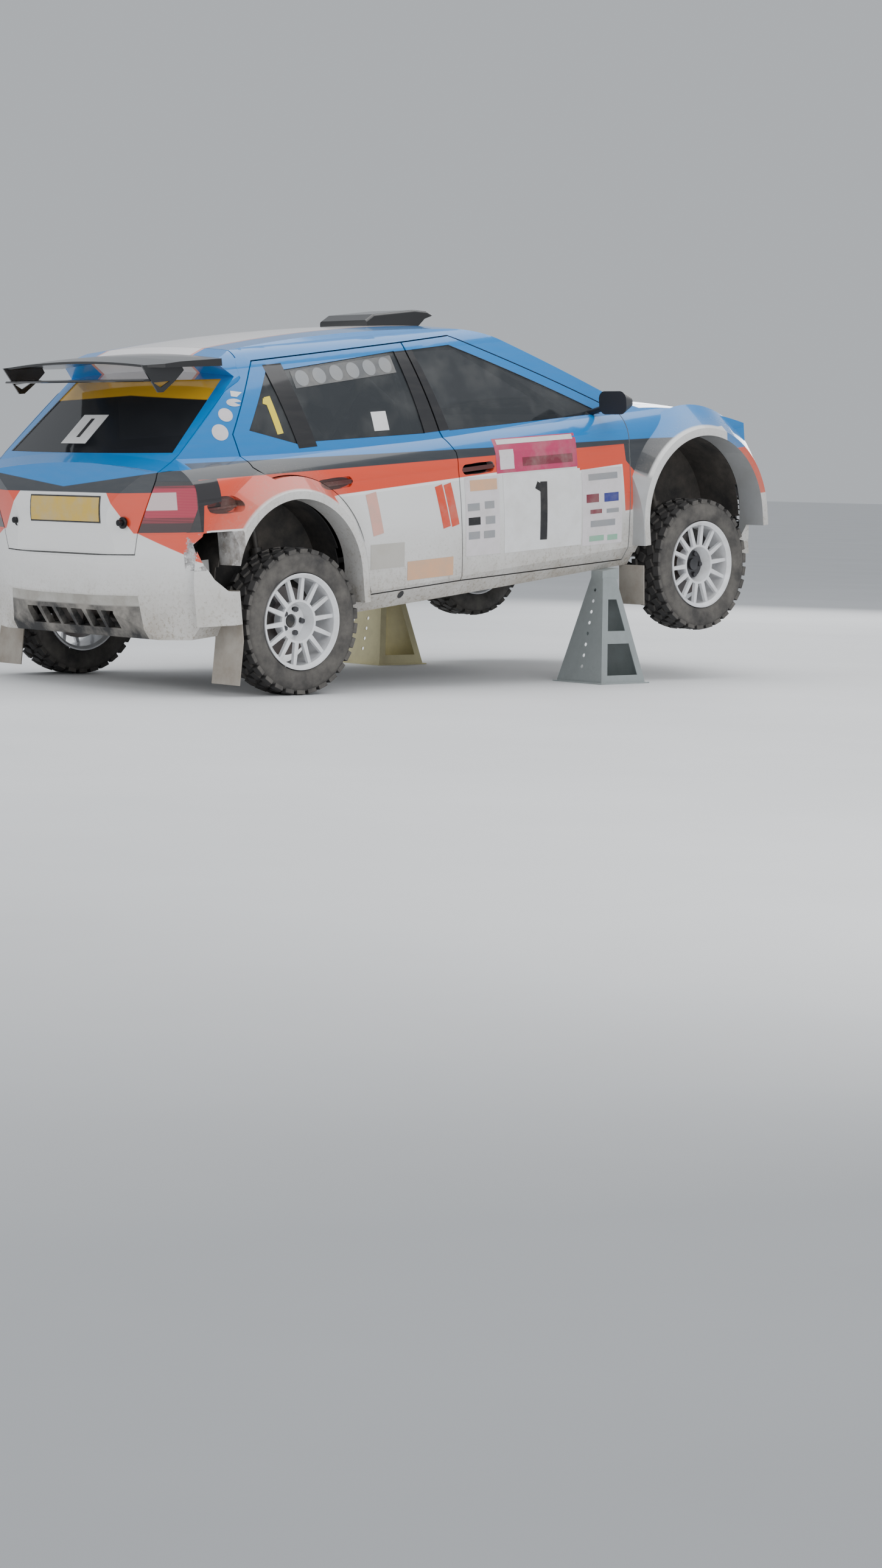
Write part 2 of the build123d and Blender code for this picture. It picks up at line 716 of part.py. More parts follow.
# Floor, firewall and scuttle
floor_top = 312
floor_under = 302
sill_inside = 719.7
boot_floor = 570
firewall_x = front_arch_x - front_arch_radius - liner_wall - 2 * seat_gap
boot_side = arch_depth_rear - liner_wall - seat_gap
with BuildPart() as floor_pan:
    with BuildSketch(Plane.XY.offset(floor_under)):
        with Locations(((470 + firewall_x) / 2, 0)):
            Rectangle(firewall_x - 470, 2 * sill_inside)
    extrude(amount=floor_top - floor_under)
    with BuildSketch(Plane.XZ.offset(-boot_side)):
        with BuildLine():
            Polyline((-440, 560), (372, 560), (470, floor_under), (480, floor_under), (382, boot_floor),
                     (-440, boot_floor), (-440, 560))
        make_face()
    extrude(amount=2 * boot_side)
    with BuildSketch(Plane.XZ.offset(-650)):
        with BuildLine():
            Polyline((firewall_x - 8, floor_under), (firewall_x - 8, 998), (2318, 1016),
                     (2318, 1008), (firewall_x, 990), (firewall_x, floor_under),
                     (firewall_x - 8, floor_under))
        make_face()
    extrude(amount=1300)
    with BuildSketch(Plane.YZ.offset(480)):
        with BuildLine():
            Polyline((-130, floor_under), (-90, 440), (90, 440), (130, floor_under), (120, floor_under),
                     (82, 430), (-82, 430), (-120, floor_under), (-130, floor_under))
        make_face()
    extrude(amount=firewall_x - 490)
keep(floor_pan.part, "floor_pan")

# Wheel housings, four liners that close the arches
def liner(x, height, radius, depth):
    """Sheet round the top of one arch with its wall towards the middle of the car."""
    low = height - 35
    with BuildPart() as sheet:
        add(arch_opening(x, height, radius, depth - liner_wall, grow=liner_wall + seat_gap))
        add(arch_opening(x, height, radius, depth, grow=seat_gap), mode=Mode.SUBTRACT)
        add(side_block([(x - 600, low), (x - 600, 1300), (x + 600, 1300), (x + 600, low)],
                       y_from=300, y_to=liner_edge), mode=Mode.INTERSECT)
        add(side_block([(x - 600, 0), (x - 600, 600), (x + 600, 600), (x + 600, 0)],
                       y_from=liner_low_edge, y_to=1000), mode=Mode.SUBTRACT)
    return sheet.part


with BuildPart() as housings:
    for x, height, radius, band, depth in arches:
        add(liner(x, height, radius, depth))
    mirror(about=Plane.XZ)
keep(housings.part, "wheel_housings")

# Wheels: tyre, rim and brake disc are turned about the hub line
corners = [("rear_left", 0, half_track, axle_height, 1), ("rear_right", 0, -half_track, axle_height, -1),
           ("front_left", wheelbase, half_track, front_hub_height, 1),
           ("front_right", wheelbase, -half_track, front_hub_height, -1)]
spokes = 14
tread_floor = tyre_radius - tread_depth
lug_half = 25
lug_root = tread_floor - 14
lug_top = (tyre_radius ** 2 - lug_half ** 2) ** 0.5
# Lug rows: from, to, first angle
lug_rows = [(-88, -8, 0), (8, 88, 180 / lug_count)]
bore_radius = 31
stub_radius = 24
disc_radius = 152
for name, x, y, z, out in corners:
    hub = Axis((x, y, z), (0, 1, 0))
    section_plane = Plane(origin=(x, y, z), x_dir=(0, out, 0), z_dir=(out, 0, 0))
    half = tyre_width / 2
    with BuildPart() as tyre:
        with BuildSketch(section_plane):
            with BuildLine():
                bead = rim_width / 2 - 8 - bead_gap
                Polyline((-bead, 200.3), (-bead, rim_radius + 1), (1 - half, 226))
                ThreePointArc((1 - half, 226), (-half, 262), (7 - half, 300))
                Polyline((7 - half, 300), (14 - half, tread_floor), (half - 14, tread_floor),
                         (half - 7, 300))
                ThreePointArc((half - 7, 300), (half, 262), (half - 1, 226))
                Polyline((half - 1, 226), (bead, rim_radius + 1), (bead, 200.3), (-bead, 200.3))
            make_face()
        revolve(axis=hub)
        for inner, outer, phase in lug_rows:
            with BuildSketch(Plane(origin=(x, y + inner, z), x_dir=(1, 0, 0), z_dir=(0, 1, 0))):
                with PolarLocations(0, lug_count, start_angle=phase):
                    Polygon((lug_root, -lug_half), (lug_top, -lug_half), (lug_top, lug_half),
                            (lug_root, lug_half), align=None)
            extrude(amount=outer - inner)
    keep(tyre.part, f"tyre_{name}")

    with BuildPart() as rim:
        with BuildSketch(section_plane):
            with BuildLine():
                lip = rim_width / 2
                Polyline((-lip, 205), (-lip, rim_radius), (8 - lip, rim_radius), (8 - lip, 200),
                         (lip - 8, 200), (lip - 8, rim_radius), (lip, rim_radius), (lip, 205),
                         (lip - 14, 192), (14 - lip, 192), (-lip, 205))
            make_face()
            with BuildLine():
                Polyline((-6, bore_radius), (-6, 84), (52, 96), (64, 96), (64, 86), (10, 72),
                         (10, bore_radius), (-6, bore_radius))
            make_face()
        revolve(axis=hub)
        with BuildSketch(Plane(origin=(x, y + out * 46, z), x_dir=(1, 0, 0), z_dir=(0, out, 0))):
            with PolarLocations(0, spokes):
                Polygon((88, -11), (196, -8), (196, 8), (88, 11), align=None)
        extrude(amount=18)
        with BuildSketch(Plane(origin=(x, y - out * 10, z), x_dir=(1, 0, 0), z_dir=(0, out, 0))):
            with PolarLocations(54, 5):
                Circle(9)
        extrude(amount=30, mode=Mode.SUBTRACT)
    keep(rim.part, f"rim_{name}")

    with BuildPart() as disc:
        with BuildSketch(section_plane):
            with BuildLine():
                Polyline((-6.3, stub_radius + 0.5), (-6.3, 78), (-30, 78), (-30, disc_radius),
                         (-56, disc_radius), (-56, 88), (-42, 88), (-42, 70), (-14, 70),
                         (-14, stub_radius + 0.5), (-6.3, stub_radius + 0.5))
            make_face()
        revolve(axis=hub)
    keep(disc.part, f"brake_disc_{name}")

# Steered front knuckles, left and then mirrored
strut_foot = Vector(wheelbase, 690, 150)
strut_top = Vector(wheelbase - 20, 560, 780)
strut_way = (strut_top - strut_foot).normalized()


def on_strut(height):
    """The point of the left strut's line at a height above the ground."""
    return strut_foot + strut_way * ((height - strut_foot.Z) / strut_way.Z)


def caliper(x, z, turn):
    """A brake caliper that straddles the left disc, turned about the hub."""
    with BuildPart() as body:
        with BuildSketch(Plane(origin=(x, half_track - 88, z), x_dir=(1, 0, 0), z_dir=(0, 1, 0))):
            with BuildLine():
                outer_arc = CenterArc((0, 0), 178, turn - 26, 52)
                inner_arc = CenterArc((0, 0), 104, turn - 26, 52)
                Line(outer_arc @ 0, inner_arc @ 0)
                Line(outer_arc @ 1, inner_arc @ 1)
            make_face()
        extrude(amount=76)
        with BuildSketch(Plane(origin=(x, half_track - 61, z), x_dir=(1, 0, 0), z_dir=(0, 1, 0))):
            Circle(disc_radius + 5)
        extrude(amount=36, mode=Mode.SUBTRACT)
    return body.part


pin_low = 120
knuckle_low = 170
with BuildPart() as knuckle:
    bar((wheelbase, 640, front_hub_height), (wheelbase, 738, front_hub_height), 50)
    bar((wheelbase, 738, front_hub_height), (wheelbase, half_track + 6, front_hub_height), stub_radius)
    bar(on_strut(knuckle_low), on_strut(300), 22)
    bar(on_strut(knuckle_low), on_strut(pin_low), 9)
    bar(on_strut(300), on_strut(560), 26)
    bar(on_strut(420), on_strut(428), 52)
    bar(on_strut(560), on_strut(800), 11)
    bar((wheelbase, 668, 240), (wheelbase - 120, 672, 232), 14)
    bar((wheelbase, 690, front_hub_height + 20), (wheelbase + 100, 722, front_hub_height + 90), 16)
    add(caliper(wheelbase, front_hub_height, -45))
keep(knuckle.part, "knuckle_left")
keep(mirror(knuckle.part, about=Plane.XZ), "knuckle_right")


# Two posts under the bonnet's front edge
with BuildPart() as bonnet_posts:
    with BuildSketch(Plane.XY.offset(400)):
        with Locations((3215, 250), (3215, -250)):
            Rectangle(50, 30)
    extrude(amount=60)
    with BuildSketch(Plane.XY.offset(440)):
        with Locations((3180, 250), (3180, -250)):
            Rectangle(24, 24)
    extrude(amount=500)
    with BuildSketch(Plane.XY.offset(440)):
        with Locations((3200, 250), (3200, -250)):
            Rectangle(40, 24)
    extrude(amount=20)
    add(crown(roof_wall + seat_gap), mode=Mode.INTERSECT)

# Front frame: rails, crossmember, crash beam, strut tops, lower arms and drive shafts
with BuildPart() as front_frame:
    for side in (1, -1):
        with BuildSketch(Plane.YZ.offset(firewall_x + seat_gap)):
            with Locations((side * 360, 380)):
                Rectangle(60, 90)
        extrude(amount=beam_face - 50 - firewall_x)
    with BuildSketch(Plane.YZ.offset(beam_face - 50)):
        with Locations((0, eye_z)):
            Rectangle(840, 110)
    extrude(amount=50)
    with BuildSketch(Plane.XY.offset(282)):
        with Locations((wheelbase, 0)):
            Rectangle(280, 780)
    extrude(amount=54)
    for side in (1, -1):
        ball = (on_strut(pin_low).X, side * on_strut(pin_low).Y, 116)
        for pivot_x in (wheelbase - 110, wheelbase + 110):
            bar(ball, (pivot_x, side * 370, 300), 15)
        bar((wheelbase, side * 301, 312), (wheelbase, side * 622, 262), 14)
        bar((wheelbase, side * 301, 312), (wheelbase, side * 345, 305), 30)
    with BuildSketch(Plane.XY.offset(102)):
        pin = on_strut(pin_low)
        with Locations((pin.X, pin.Y), (pin.X, -pin.Y)):
            Circle(27)
    extrude(amount=30)
    for side in (1, -1):
        top = on_strut(146)
        low = on_strut(90)
        bar_way = Vector(top.X - low.X, side * (top.Y - low.Y), top.Z - low.Z)
        with BuildSketch(Plane(origin=(low.X, side * low.Y, low.Z), z_dir=bar_way)) as pin_hole:
            Circle(9.5)
        extrude(pin_hole.sketch, amount=70, mode=Mode.SUBTRACT)
    add(bonnet_posts.part)
keep(front_frame.part, "front_frame")

with BuildPart() as strut_mounts:
    bar(on_strut(806), on_strut(862), 41)
    with BuildSketch(Plane.XZ.offset(-arch_depth_front - seat_gap)):
        with Locations((on_strut(834).X, 834)):
            Rectangle(60, 36)
    extrude(amount=-50)
    mirror(about=Plane.XZ)
keep(strut_mounts.part, "strut_mounts")

# Rear axle: hub carriers, struts, arms, drive shafts and the differential
with BuildPart() as rear_axle:
    with BuildSketch(Plane.XY.offset(250)):
        with Locations((10, 0)):
            RectangleRounded(240, 240, 40)
    extrude(amount=160)
    bar((0, -612, axle_height), (0, 612, axle_height), 15)
    for side in (1, -1):
        bar((0, side * 610, axle_height), (0, side * 738, axle_height), 50)
        bar((0, side * 738, axle_height), (0, side * (half_track + 6), axle_height), stub_radius)
        bar((0, side * 668, axle_height), (-14, side * 626, 640), 26)
        bar((-14, side * 626, 640), (-22, side * 612, 854), 13)
        bar((-5, side * 654, 480), (-5.3, side * 652.8, 488), 52)
        for pivot_x in (-150, 150):
            bar((0, side * 655, 262), (pivot_x, side * 392, 372), 14)
        bar((0, side * 655, 330), (0, side * 655, 262), 18)
        bar((0, side * 700, axle_height), (-104, side * 724, axle_height + 60), 16)
    rear_caliper = caliper(0, axle_height, -150)
    add(rear_caliper)
    mirror(rear_caliper, about=Plane.XZ)
    for side in (1, -1):
        with BuildSketch(Plane.YZ.offset(-470)):
            with Locations((side * 400, 400)):
                Rectangle(60, 80)
        extrude(amount=887)
    for x in (-160, 140):
        with BuildSketch(Plane.YZ.offset(x)):
            with Locations((0, 380)):
                Rectangle(800, 40)
        extrude(amount=40)
keep(rear_axle.part, "rear_axle")

with BuildPart() as crash_beam:
    with BuildSketch(Plane.XY.offset(520)):
        with BuildLine():
            ThreePointArc((-497, 590), (-584, 0), (-497, -590))
            Polyline((-497, -590), (-460, -590))
            ThreePointArc((-460, -590), (-545, 0), (-460, 590))
            Polyline((-460, 590), (-497, 590))
        make_face()
    extrude(amount=90)
    for side in (1, -1):
        with BuildSketch(Plane.YZ.offset(-530)):
            with Locations((side * 400, 560 - seat_gap - 20)):
                Rectangle(60, 40)
        extrude(amount=175)
    for side in (1, -1):
        with BuildSketch(Plane.XY.offset(440.3)):
            with Locations((-400, side * 400)):
                Rectangle(90, 60)
        extrude(amount=100)
    with BuildSketch(Plane.XY.offset(540)):
        with BuildLine():
            Polyline((-490, -589), (-430, -735), (-372, -738), (-372, -726), (-424, -722), (-468, -589),
                     (-490, -589))
        make_face()
    extrude(amount=96)
keep(crash_beam.part, "crash_bracket")

# The right rear corner of the bumper is broken away
with BuildPart() as broken:
    with BuildSketch(Plane.XZ.offset(640)):
        with BuildLine():
            Polyline((-330, 498), (-400, 508), (-436, 560), (-462, 640), (-470, 712), (-440, 764),
                     (-330, 780), (-330, 498))
        make_face()
    extrude(amount=360)
with BuildPart() as torn_bumper:
    add(rear_bumper.part)
    add(broken.part, mode=Mode.SUBTRACT)
keep(torn_bumper.part, "rear_bumper")

with BuildPart() as engine:
    with BuildSketch(Plane.XY.offset(336 + seat_gap)):
        with Locations((2820, 0)):
            Rectangle(560, 600)
    extrude(amount=500)
    chamfer(engine.edges().group_by(Axis.Z)[-1], 60)
keep(engine.part, "engine_block")

with BuildPart() as sump_guard:
    with BuildSketch(Plane.XZ.offset(-330)):
        with BuildLine():
            Polyline((2150, 296), (2200, 296), (2320, 262), (2880, 262), (2950, 276), (2950, 282),
                     (2876, 268), (2322, 268), (2202, floor_under - seat_gap),
                     (2150, floor_under - seat_gap), (2150, 296))
        make_face()
    extrude(amount=660)
keep(sump_guard.part, "sump_guard")

# Roll cage
cabin_floor = floor_top + seat_gap
with BuildPart() as cage:
    for side in (1, -1):
        foot = (930, side * 640, cabin_floor)
        belt = (930, side * 650, 1010)
        top = (930, side * 480, 1440)
        front_top = (1420, side * 450, 1420)
        front_foot = (2120, side * 610, 960)
        rear_foot = (40, side * 500, boot_floor - 20)
        for start, end in ((foot, belt), (belt, top), (top, front_top), (front_top, front_foot),
                           (front_foot, (2120, side * 640, cabin_floor)), (top, rear_foot),
                           ((930, side * 655, 560), (2120, side * 640, 440)),
                           ((930, side * 655, 440), (2120, side * 640, 560))):
            bar(start, end, cage_radius)
        for joint in (belt, top, front_top, front_foot):
            with Locations(joint):
                Sphere(cage_radius + 1)
    bar((930, -480, 1440), (930, 480, 1440), cage_radius)
    bar((1420, -450, 1420), (1420, 450, 1420), cage_radius)
    bar((930, 480, 1440), (930, -640, 480), cage_radius)
    bar((930, -648, 900), (930, 648, 900), cage_radius)
    bar((2120, -610, 960), (2120, 610, 960), cage_radius)
    with BuildSketch(Plane.XY.offset(200)):
        Rectangle(9000, 3000)
    extrude(amount=cabin_floor - 200, mode=Mode.SUBTRACT)
    with BuildSketch(Plane.XY.offset(400)):
        Rectangle(700, 1200)
    extrude(amount=boot_floor + seat_gap - 400, mode=Mode.SUBTRACT)
keep(cage.part, "roll_cage")

# Seats
seat_x = 1240


def bucket_seat(y):
    """A one piece racing shell on its plinth."""
    with BuildPart() as seat:
        with BuildSketch(Plane.XZ.offset(-y - 200)):
            with BuildLine():
                Polyline((seat_x + 330, 560), (seat_x + 20, 520), (seat_x - 70, 560),
                         (seat_x - 230, 1180), (seat_x - 205, 1186), (seat_x - 30, 620),
                         (seat_x + 40, 570), (seat_x + 330, 600), (seat_x + 330, 560))
            make_face()
        extrude(amount=400)
        for edge in (y - 225, y + 200):
            with BuildSketch(Plane.XZ.offset(-edge - 25)):
                with BuildLine():
                    Polyline((seat_x + 330, 545), (seat_x + 20, 500), (seat_x - 85, 560),
                             (seat_x - 245, 1185), (seat_x - 120, 1150), (seat_x - 30, 960),
                             (seat_x + 50, 740), (seat_x + 330, 670), (seat_x + 330, 545))
                make_face()
            extrude(amount=25)
        with BuildSketch(Plane.XY.offset(cabin_floor)):
            with Locations((seat_x + 130, y)):
                Rectangle(320, 340)
        extrude(amount=215)
    return seat.part


keep(bucket_seat(seat_y), "driver_seat")
keep(bucket_seat(-seat_y), "codriver_seat")

with BuildPart() as dashboard:
    with BuildSketch(Plane.XZ.offset(-580)):
        with BuildLine():
            dash_front = firewall_x - 8 - seat_gap
            Polyline((dash_front, 985), (2140, 985), (2080, 1000), (1900, 985), (1870, 940),
                     (1890, 780), (1960, 700), (2080, 660), (dash_front, 640), (dash_front, 985))
        make_face()
    extrude(amount=1160)
    add(cage.part, mode=Mode.SUBTRACT)
keep(dashboard.part, "dashboard")

wheel_plane = Plane(origin=(1700, seat_y, 960), x_dir=(0, 1, 0), z_dir=(-0.94, 0, 0.34))
with BuildPart() as steering_wheel:
    with BuildSketch(Plane(origin=wheel_plane.origin, x_dir=wheel_plane.x_dir, z_dir=wheel_plane.y_dir)):
        with Locations((165, 0)):
            Circle(14)
    revolve(axis=Axis(wheel_plane.origin, wheel_plane.z_dir))
    with BuildSketch(wheel_plane.offset(-6)):
        Circle(38)
        with PolarLocations(80, 3, start_angle=90):
            Rectangle(150, 26)
    extrude(amount=12)
    bar(tuple(wheel_plane.origin), tuple(wheel_plane.origin - wheel_plane.z_dir * 220), 18)
    add(dashboard.part, mode=Mode.SUBTRACT)
keep(steering_wheel.part, "steering_wheel")

with BuildPart() as exhaust:
    pipe_y = 215
    bar((2150, pipe_y, 262), (-70, pipe_y, 262), 30)
    bar((-70, pipe_y, 262), (-330, pipe_y, 360), 30)
    with Locations((-70, pipe_y, 262)):
        Sphere(30.5)
    bar((-380, pipe_y, 440), (-380, pipe_y, 560 - seat_gap), 6)
    with BuildSketch(Plane.YZ.offset(-455)):
        with Locations((pipe_y, 400)):
            RectangleRounded(240, 130, 40)
    extrude(amount=150)
keep(exhaust.part, "exhaust")

with BuildPart() as mudflaps:
    with BuildSketch(Plane.XZ.offset(-905)):
        with BuildLine():
            Polyline((-345.7, 504), (-350.7, 504), (-350.7, 290), (-392, 98), (-387, 97), (-345.7, 288),
                     (-345.7, 504))
        make_face()
    extrude(amount=190)
    with BuildSketch(Plane.XZ.offset(-890)):
        with BuildLine():
            Polyline((2160, 299.7), (2165, 299.7), (2150, 110), (2145, 110), (2160, 299.7))
        make_face()
    extrude(amount=165)
    mirror(about=Plane.XZ)
keep(mudflaps.part, "mudflaps")

with BuildPart() as mirror_left:
    with BuildSketch(Plane.YZ.offset(1960)):
        with Locations((940, 1100)):
            RectangleRounded(180, 110, 40)
    with BuildSketch(Plane.YZ.offset(2060)):
        with Locations((930, 1095)):
            RectangleRounded(90, 50, 20)
    loft()
    bar((2010, 700, 1040), (2010, 880, 1085), 14)
    add(skin.part, mode=Mode.SUBTRACT)
    add(pane_outer, mode=Mode.SUBTRACT)
mirror_body = Part() + mirror_left.part.solids().sort_by(SortBy.VOLUME)[-1]
keep(mirror_body, "mirror_left")
keep(mirror(mirror_body, about=Plane.XZ), "mirror_right")

with BuildPart() as tow_eye:
    with BuildSketch(Plane.XZ.offset(-eye_y - eye_plate / 2)):
        with Locations(((beam_face + seat_gap + eye_x) / 2, eye_z)):
            Rectangle(eye_x - beam_face - seat_gap, 50)
        with Locations((eye_x, eye_z)):
            Circle(eye_bore + 16)
            Circle(eye_bore, mode=Mode.SUBTRACT)
    extrude(amount=eye_plate)
keep(tow_eye.part, "tow_eye")

# Axle stands, upright in the world, under the front of the sills
turn = radians(nose_up)


def to_world(x, z):
    """Where a point of the level car stands once the nose is up."""
    up = z - axle_height
    return x * cos(turn) - up * sin(turn), axle_height + x * sin(turn) + up * cos(turn)


stand_top = to_world(stand_x * cos(turn) + 30, sill_height)[1] - saddle_height


def window_half(z):
    """Half the width of a window in a stand's side, at a height."""
    return (stand_base - (stand_base - saddle_length) * z / stand_top) / 2 - leg_width


def axle_stand(side, leg_windows):
    """A welded stand: four sloping sides round an open middle, a foot plate and a saddle."""
    y = side * stand_y
    with BuildPart() as stand:
        with BuildSketch(Plane.XY.offset(foot_wall)):
            with Locations((stand_x, y)):
                Rectangle(stand_base, stand_base)
        with BuildSketch(Plane.XY.offset(stand_top)):
            with Locations((stand_x, y)):
                Rectangle(saddle_length, saddle_width)
        loft()
        with BuildSketch(Plane.XY):
            with Locations((stand_x, y)):
                Rectangle(stand_base - 2 * stand_sheet, stand_base - 2 * stand_sheet)
        with BuildSketch(Plane.XY.offset(stand_top)):
            with Locations((stand_x, y)):
                Rectangle(saddle_length - 2 * stand_sheet, saddle_width - 2 * stand_sheet)
        loft(mode=Mode.SUBTRACT)
        with BuildSketch(Plane.XY):
            with Locations((stand_x, y)):
                Rectangle(stand_base + 30, stand_base + 30)
        extrude(amount=foot_wall)
        with BuildSketch(Plane.XZ.offset(-y - stand_base)):
            for low, high in leg_windows:
                with BuildLine():
                    Polyline((stand_x - window_half(low), low), (stand_x + window_half(low), low),
                             (stand_x + window_half(high), high), (stand_x - window_half(high), high),
                             (stand_x - window_half(low), low))
                make_face()
        extrude(amount=2 * stand_base, mode=Mode.SUBTRACT)
        with BuildSketch(Plane.YZ.offset(stand_x - stand_base)):
            with GridLocations(1, hole_pitch, 1, strip_holes):
                with Locations((y, stand_top / 2 + 10)):
                    Circle(hole_radius)
        extrude(amount=stand_base, mode=Mode.SUBTRACT)
        with BuildSketch(Plane.XY):
            with Locations((stand_x, y)):
                Circle(foot_bore)
        extrude(amount=foot_wall, mode=Mode.SUBTRACT)
        with BuildSketch(Plane.XZ.offset(-y - saddle_width / 2 + 2)):
            with BuildLine():
                left = to_world(stand_x * cos(turn) - 20, sill_height - seat_gap)
                right = to_world(stand_x * cos(turn) + 90, sill_height - seat_gap)
                Polyline((left[0], stand_top - 6), left, right, (right[0], stand_top - 6),
                         (left[0], stand_top - 6))
            make_face()
        extrude(amount=saddle_width - 4)
    return stand.part


upright = Location((0, 0, 0))
keep(axle_stand(-1, [(40, 190), (250, 400)]), "axle_stand_right", stance=upright)
keep(axle_stand(1, [(50, 330)]), "axle_stand_left", stance=upright)

whole = Compound(children=[Compound(piece.wrapped) for piece in pieces.values()])
span = whole.bounding_box()
shift = Location((-(span.min.X + span.max.X) / 2, -(span.min.Y + span.max.Y) / 2, -span.min.Z))
for name, piece in pieces.items():
    placed = piece.moved(shift)
    placed.label = name
    export_step(placed, f"parts/{name}.step")
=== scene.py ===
import bpy
import json
from math import cos, pi, radians, sin
from mathutils import Matrix, Vector

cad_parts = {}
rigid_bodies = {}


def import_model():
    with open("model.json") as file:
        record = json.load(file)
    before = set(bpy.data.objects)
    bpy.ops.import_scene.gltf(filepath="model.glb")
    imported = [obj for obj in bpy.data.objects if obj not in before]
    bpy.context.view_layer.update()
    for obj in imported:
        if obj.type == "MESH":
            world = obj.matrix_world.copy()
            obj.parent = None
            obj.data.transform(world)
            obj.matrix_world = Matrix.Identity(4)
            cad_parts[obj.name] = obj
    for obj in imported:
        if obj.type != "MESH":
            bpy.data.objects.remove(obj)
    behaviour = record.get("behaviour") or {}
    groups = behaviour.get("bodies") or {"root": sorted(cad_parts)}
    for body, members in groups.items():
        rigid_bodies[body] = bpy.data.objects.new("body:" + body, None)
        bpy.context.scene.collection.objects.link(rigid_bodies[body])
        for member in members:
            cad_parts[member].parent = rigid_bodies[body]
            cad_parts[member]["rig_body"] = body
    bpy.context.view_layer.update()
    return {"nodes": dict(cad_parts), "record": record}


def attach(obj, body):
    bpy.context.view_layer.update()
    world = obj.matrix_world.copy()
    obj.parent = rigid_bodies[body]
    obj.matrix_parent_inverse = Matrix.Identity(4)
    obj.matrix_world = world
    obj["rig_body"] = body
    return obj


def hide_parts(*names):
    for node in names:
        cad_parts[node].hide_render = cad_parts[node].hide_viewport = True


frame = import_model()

# Studio. A pale matt floor under soft boxes, seen from behind the car's right corner with a
# long lens held a little above the height of the wheels, rolled slightly as in the photograph.
photo_width, photo_height = 1449, 2576
focal_pixels = 5104.5
film_width = 36
camera_place = (-10.139, -11.275, 0.935)
camera_yaw, camera_pitch, camera_roll = radians(47.216), radians(-5.519), radians(1.252)
floor_side, floor_drop = 400, 0.0005
room_colour, room_strength = (0.86, 0.9, 0.95), 0.6

bpy.ops.object.select_all(action="DESELECT")
bpy.ops.mesh.primitive_plane_add(size=floor_side, location=(0, 0, -floor_drop))
floor = bpy.context.object
floor.name = "studio_floor"

view_way = Vector((cos(camera_pitch) * cos(camera_yaw), cos(camera_pitch) * sin(camera_yaw),
                   sin(camera_pitch)))
level_right = Vector((sin(camera_yaw), -cos(camera_yaw), 0))
level_up = level_right.cross(view_way)
frame_right = cos(camera_roll) * level_right + sin(camera_roll) * level_up
frame_up = cos(camera_roll) * level_up - sin(camera_roll) * level_right
camera_data = bpy.data.cameras.new("photo_camera")
camera_data.sensor_width = film_width
camera_data.lens = focal_pixels / max(photo_width, photo_height) * film_width
camera = bpy.data.objects.new("photo_camera", camera_data)
camera.matrix_world = Matrix.Translation(camera_place) @ Matrix(
    (frame_right, frame_up, -view_way)).transposed().to_4x4()
bpy.context.scene.collection.objects.link(camera)
bpy.context.scene.camera = camera

world = bpy.data.worlds.new("pale_room")
bpy.context.scene.world = world
world.use_nodes = True
room = world.node_tree.nodes["Background"]
room.inputs["Color"].default_value = (*room_colour, 1)
room.inputs["Strength"].default_value = room_strength

# Soft boxes: name, place, point aimed at, width, length, power in watts
soft_boxes = [("sky_box", (0.5, -0.5, 6.5), (0, 0, 0.5), 7, 9, 430),
              ("side_box", (-3.5, -8.5, 4.0), (0, 0, 0.6), 4, 6, 330),
              ("tail_box", (-9.5, 1.5, 3.6), (-1, 0, 0.7), 4, 4, 220),
              ("nose_box", (8.5, 4.5, 3.5), (1, 0, 0.6), 4, 4, 220)]
for name, place, aim, width, length, power in soft_boxes:
    light = bpy.data.lights.new(name, "AREA")
    light.shape = "RECTANGLE"
    light.size = width
    light.size_y = length
    light.energy = power
    lamp = bpy.data.objects.new(name, light)
    lamp.location = place
    lamp.rotation_euler = (Vector(aim) - Vector(place)).to_track_quat("-Z", "Y").to_euler()
    bpy.context.scene.collection.objects.link(lamp)


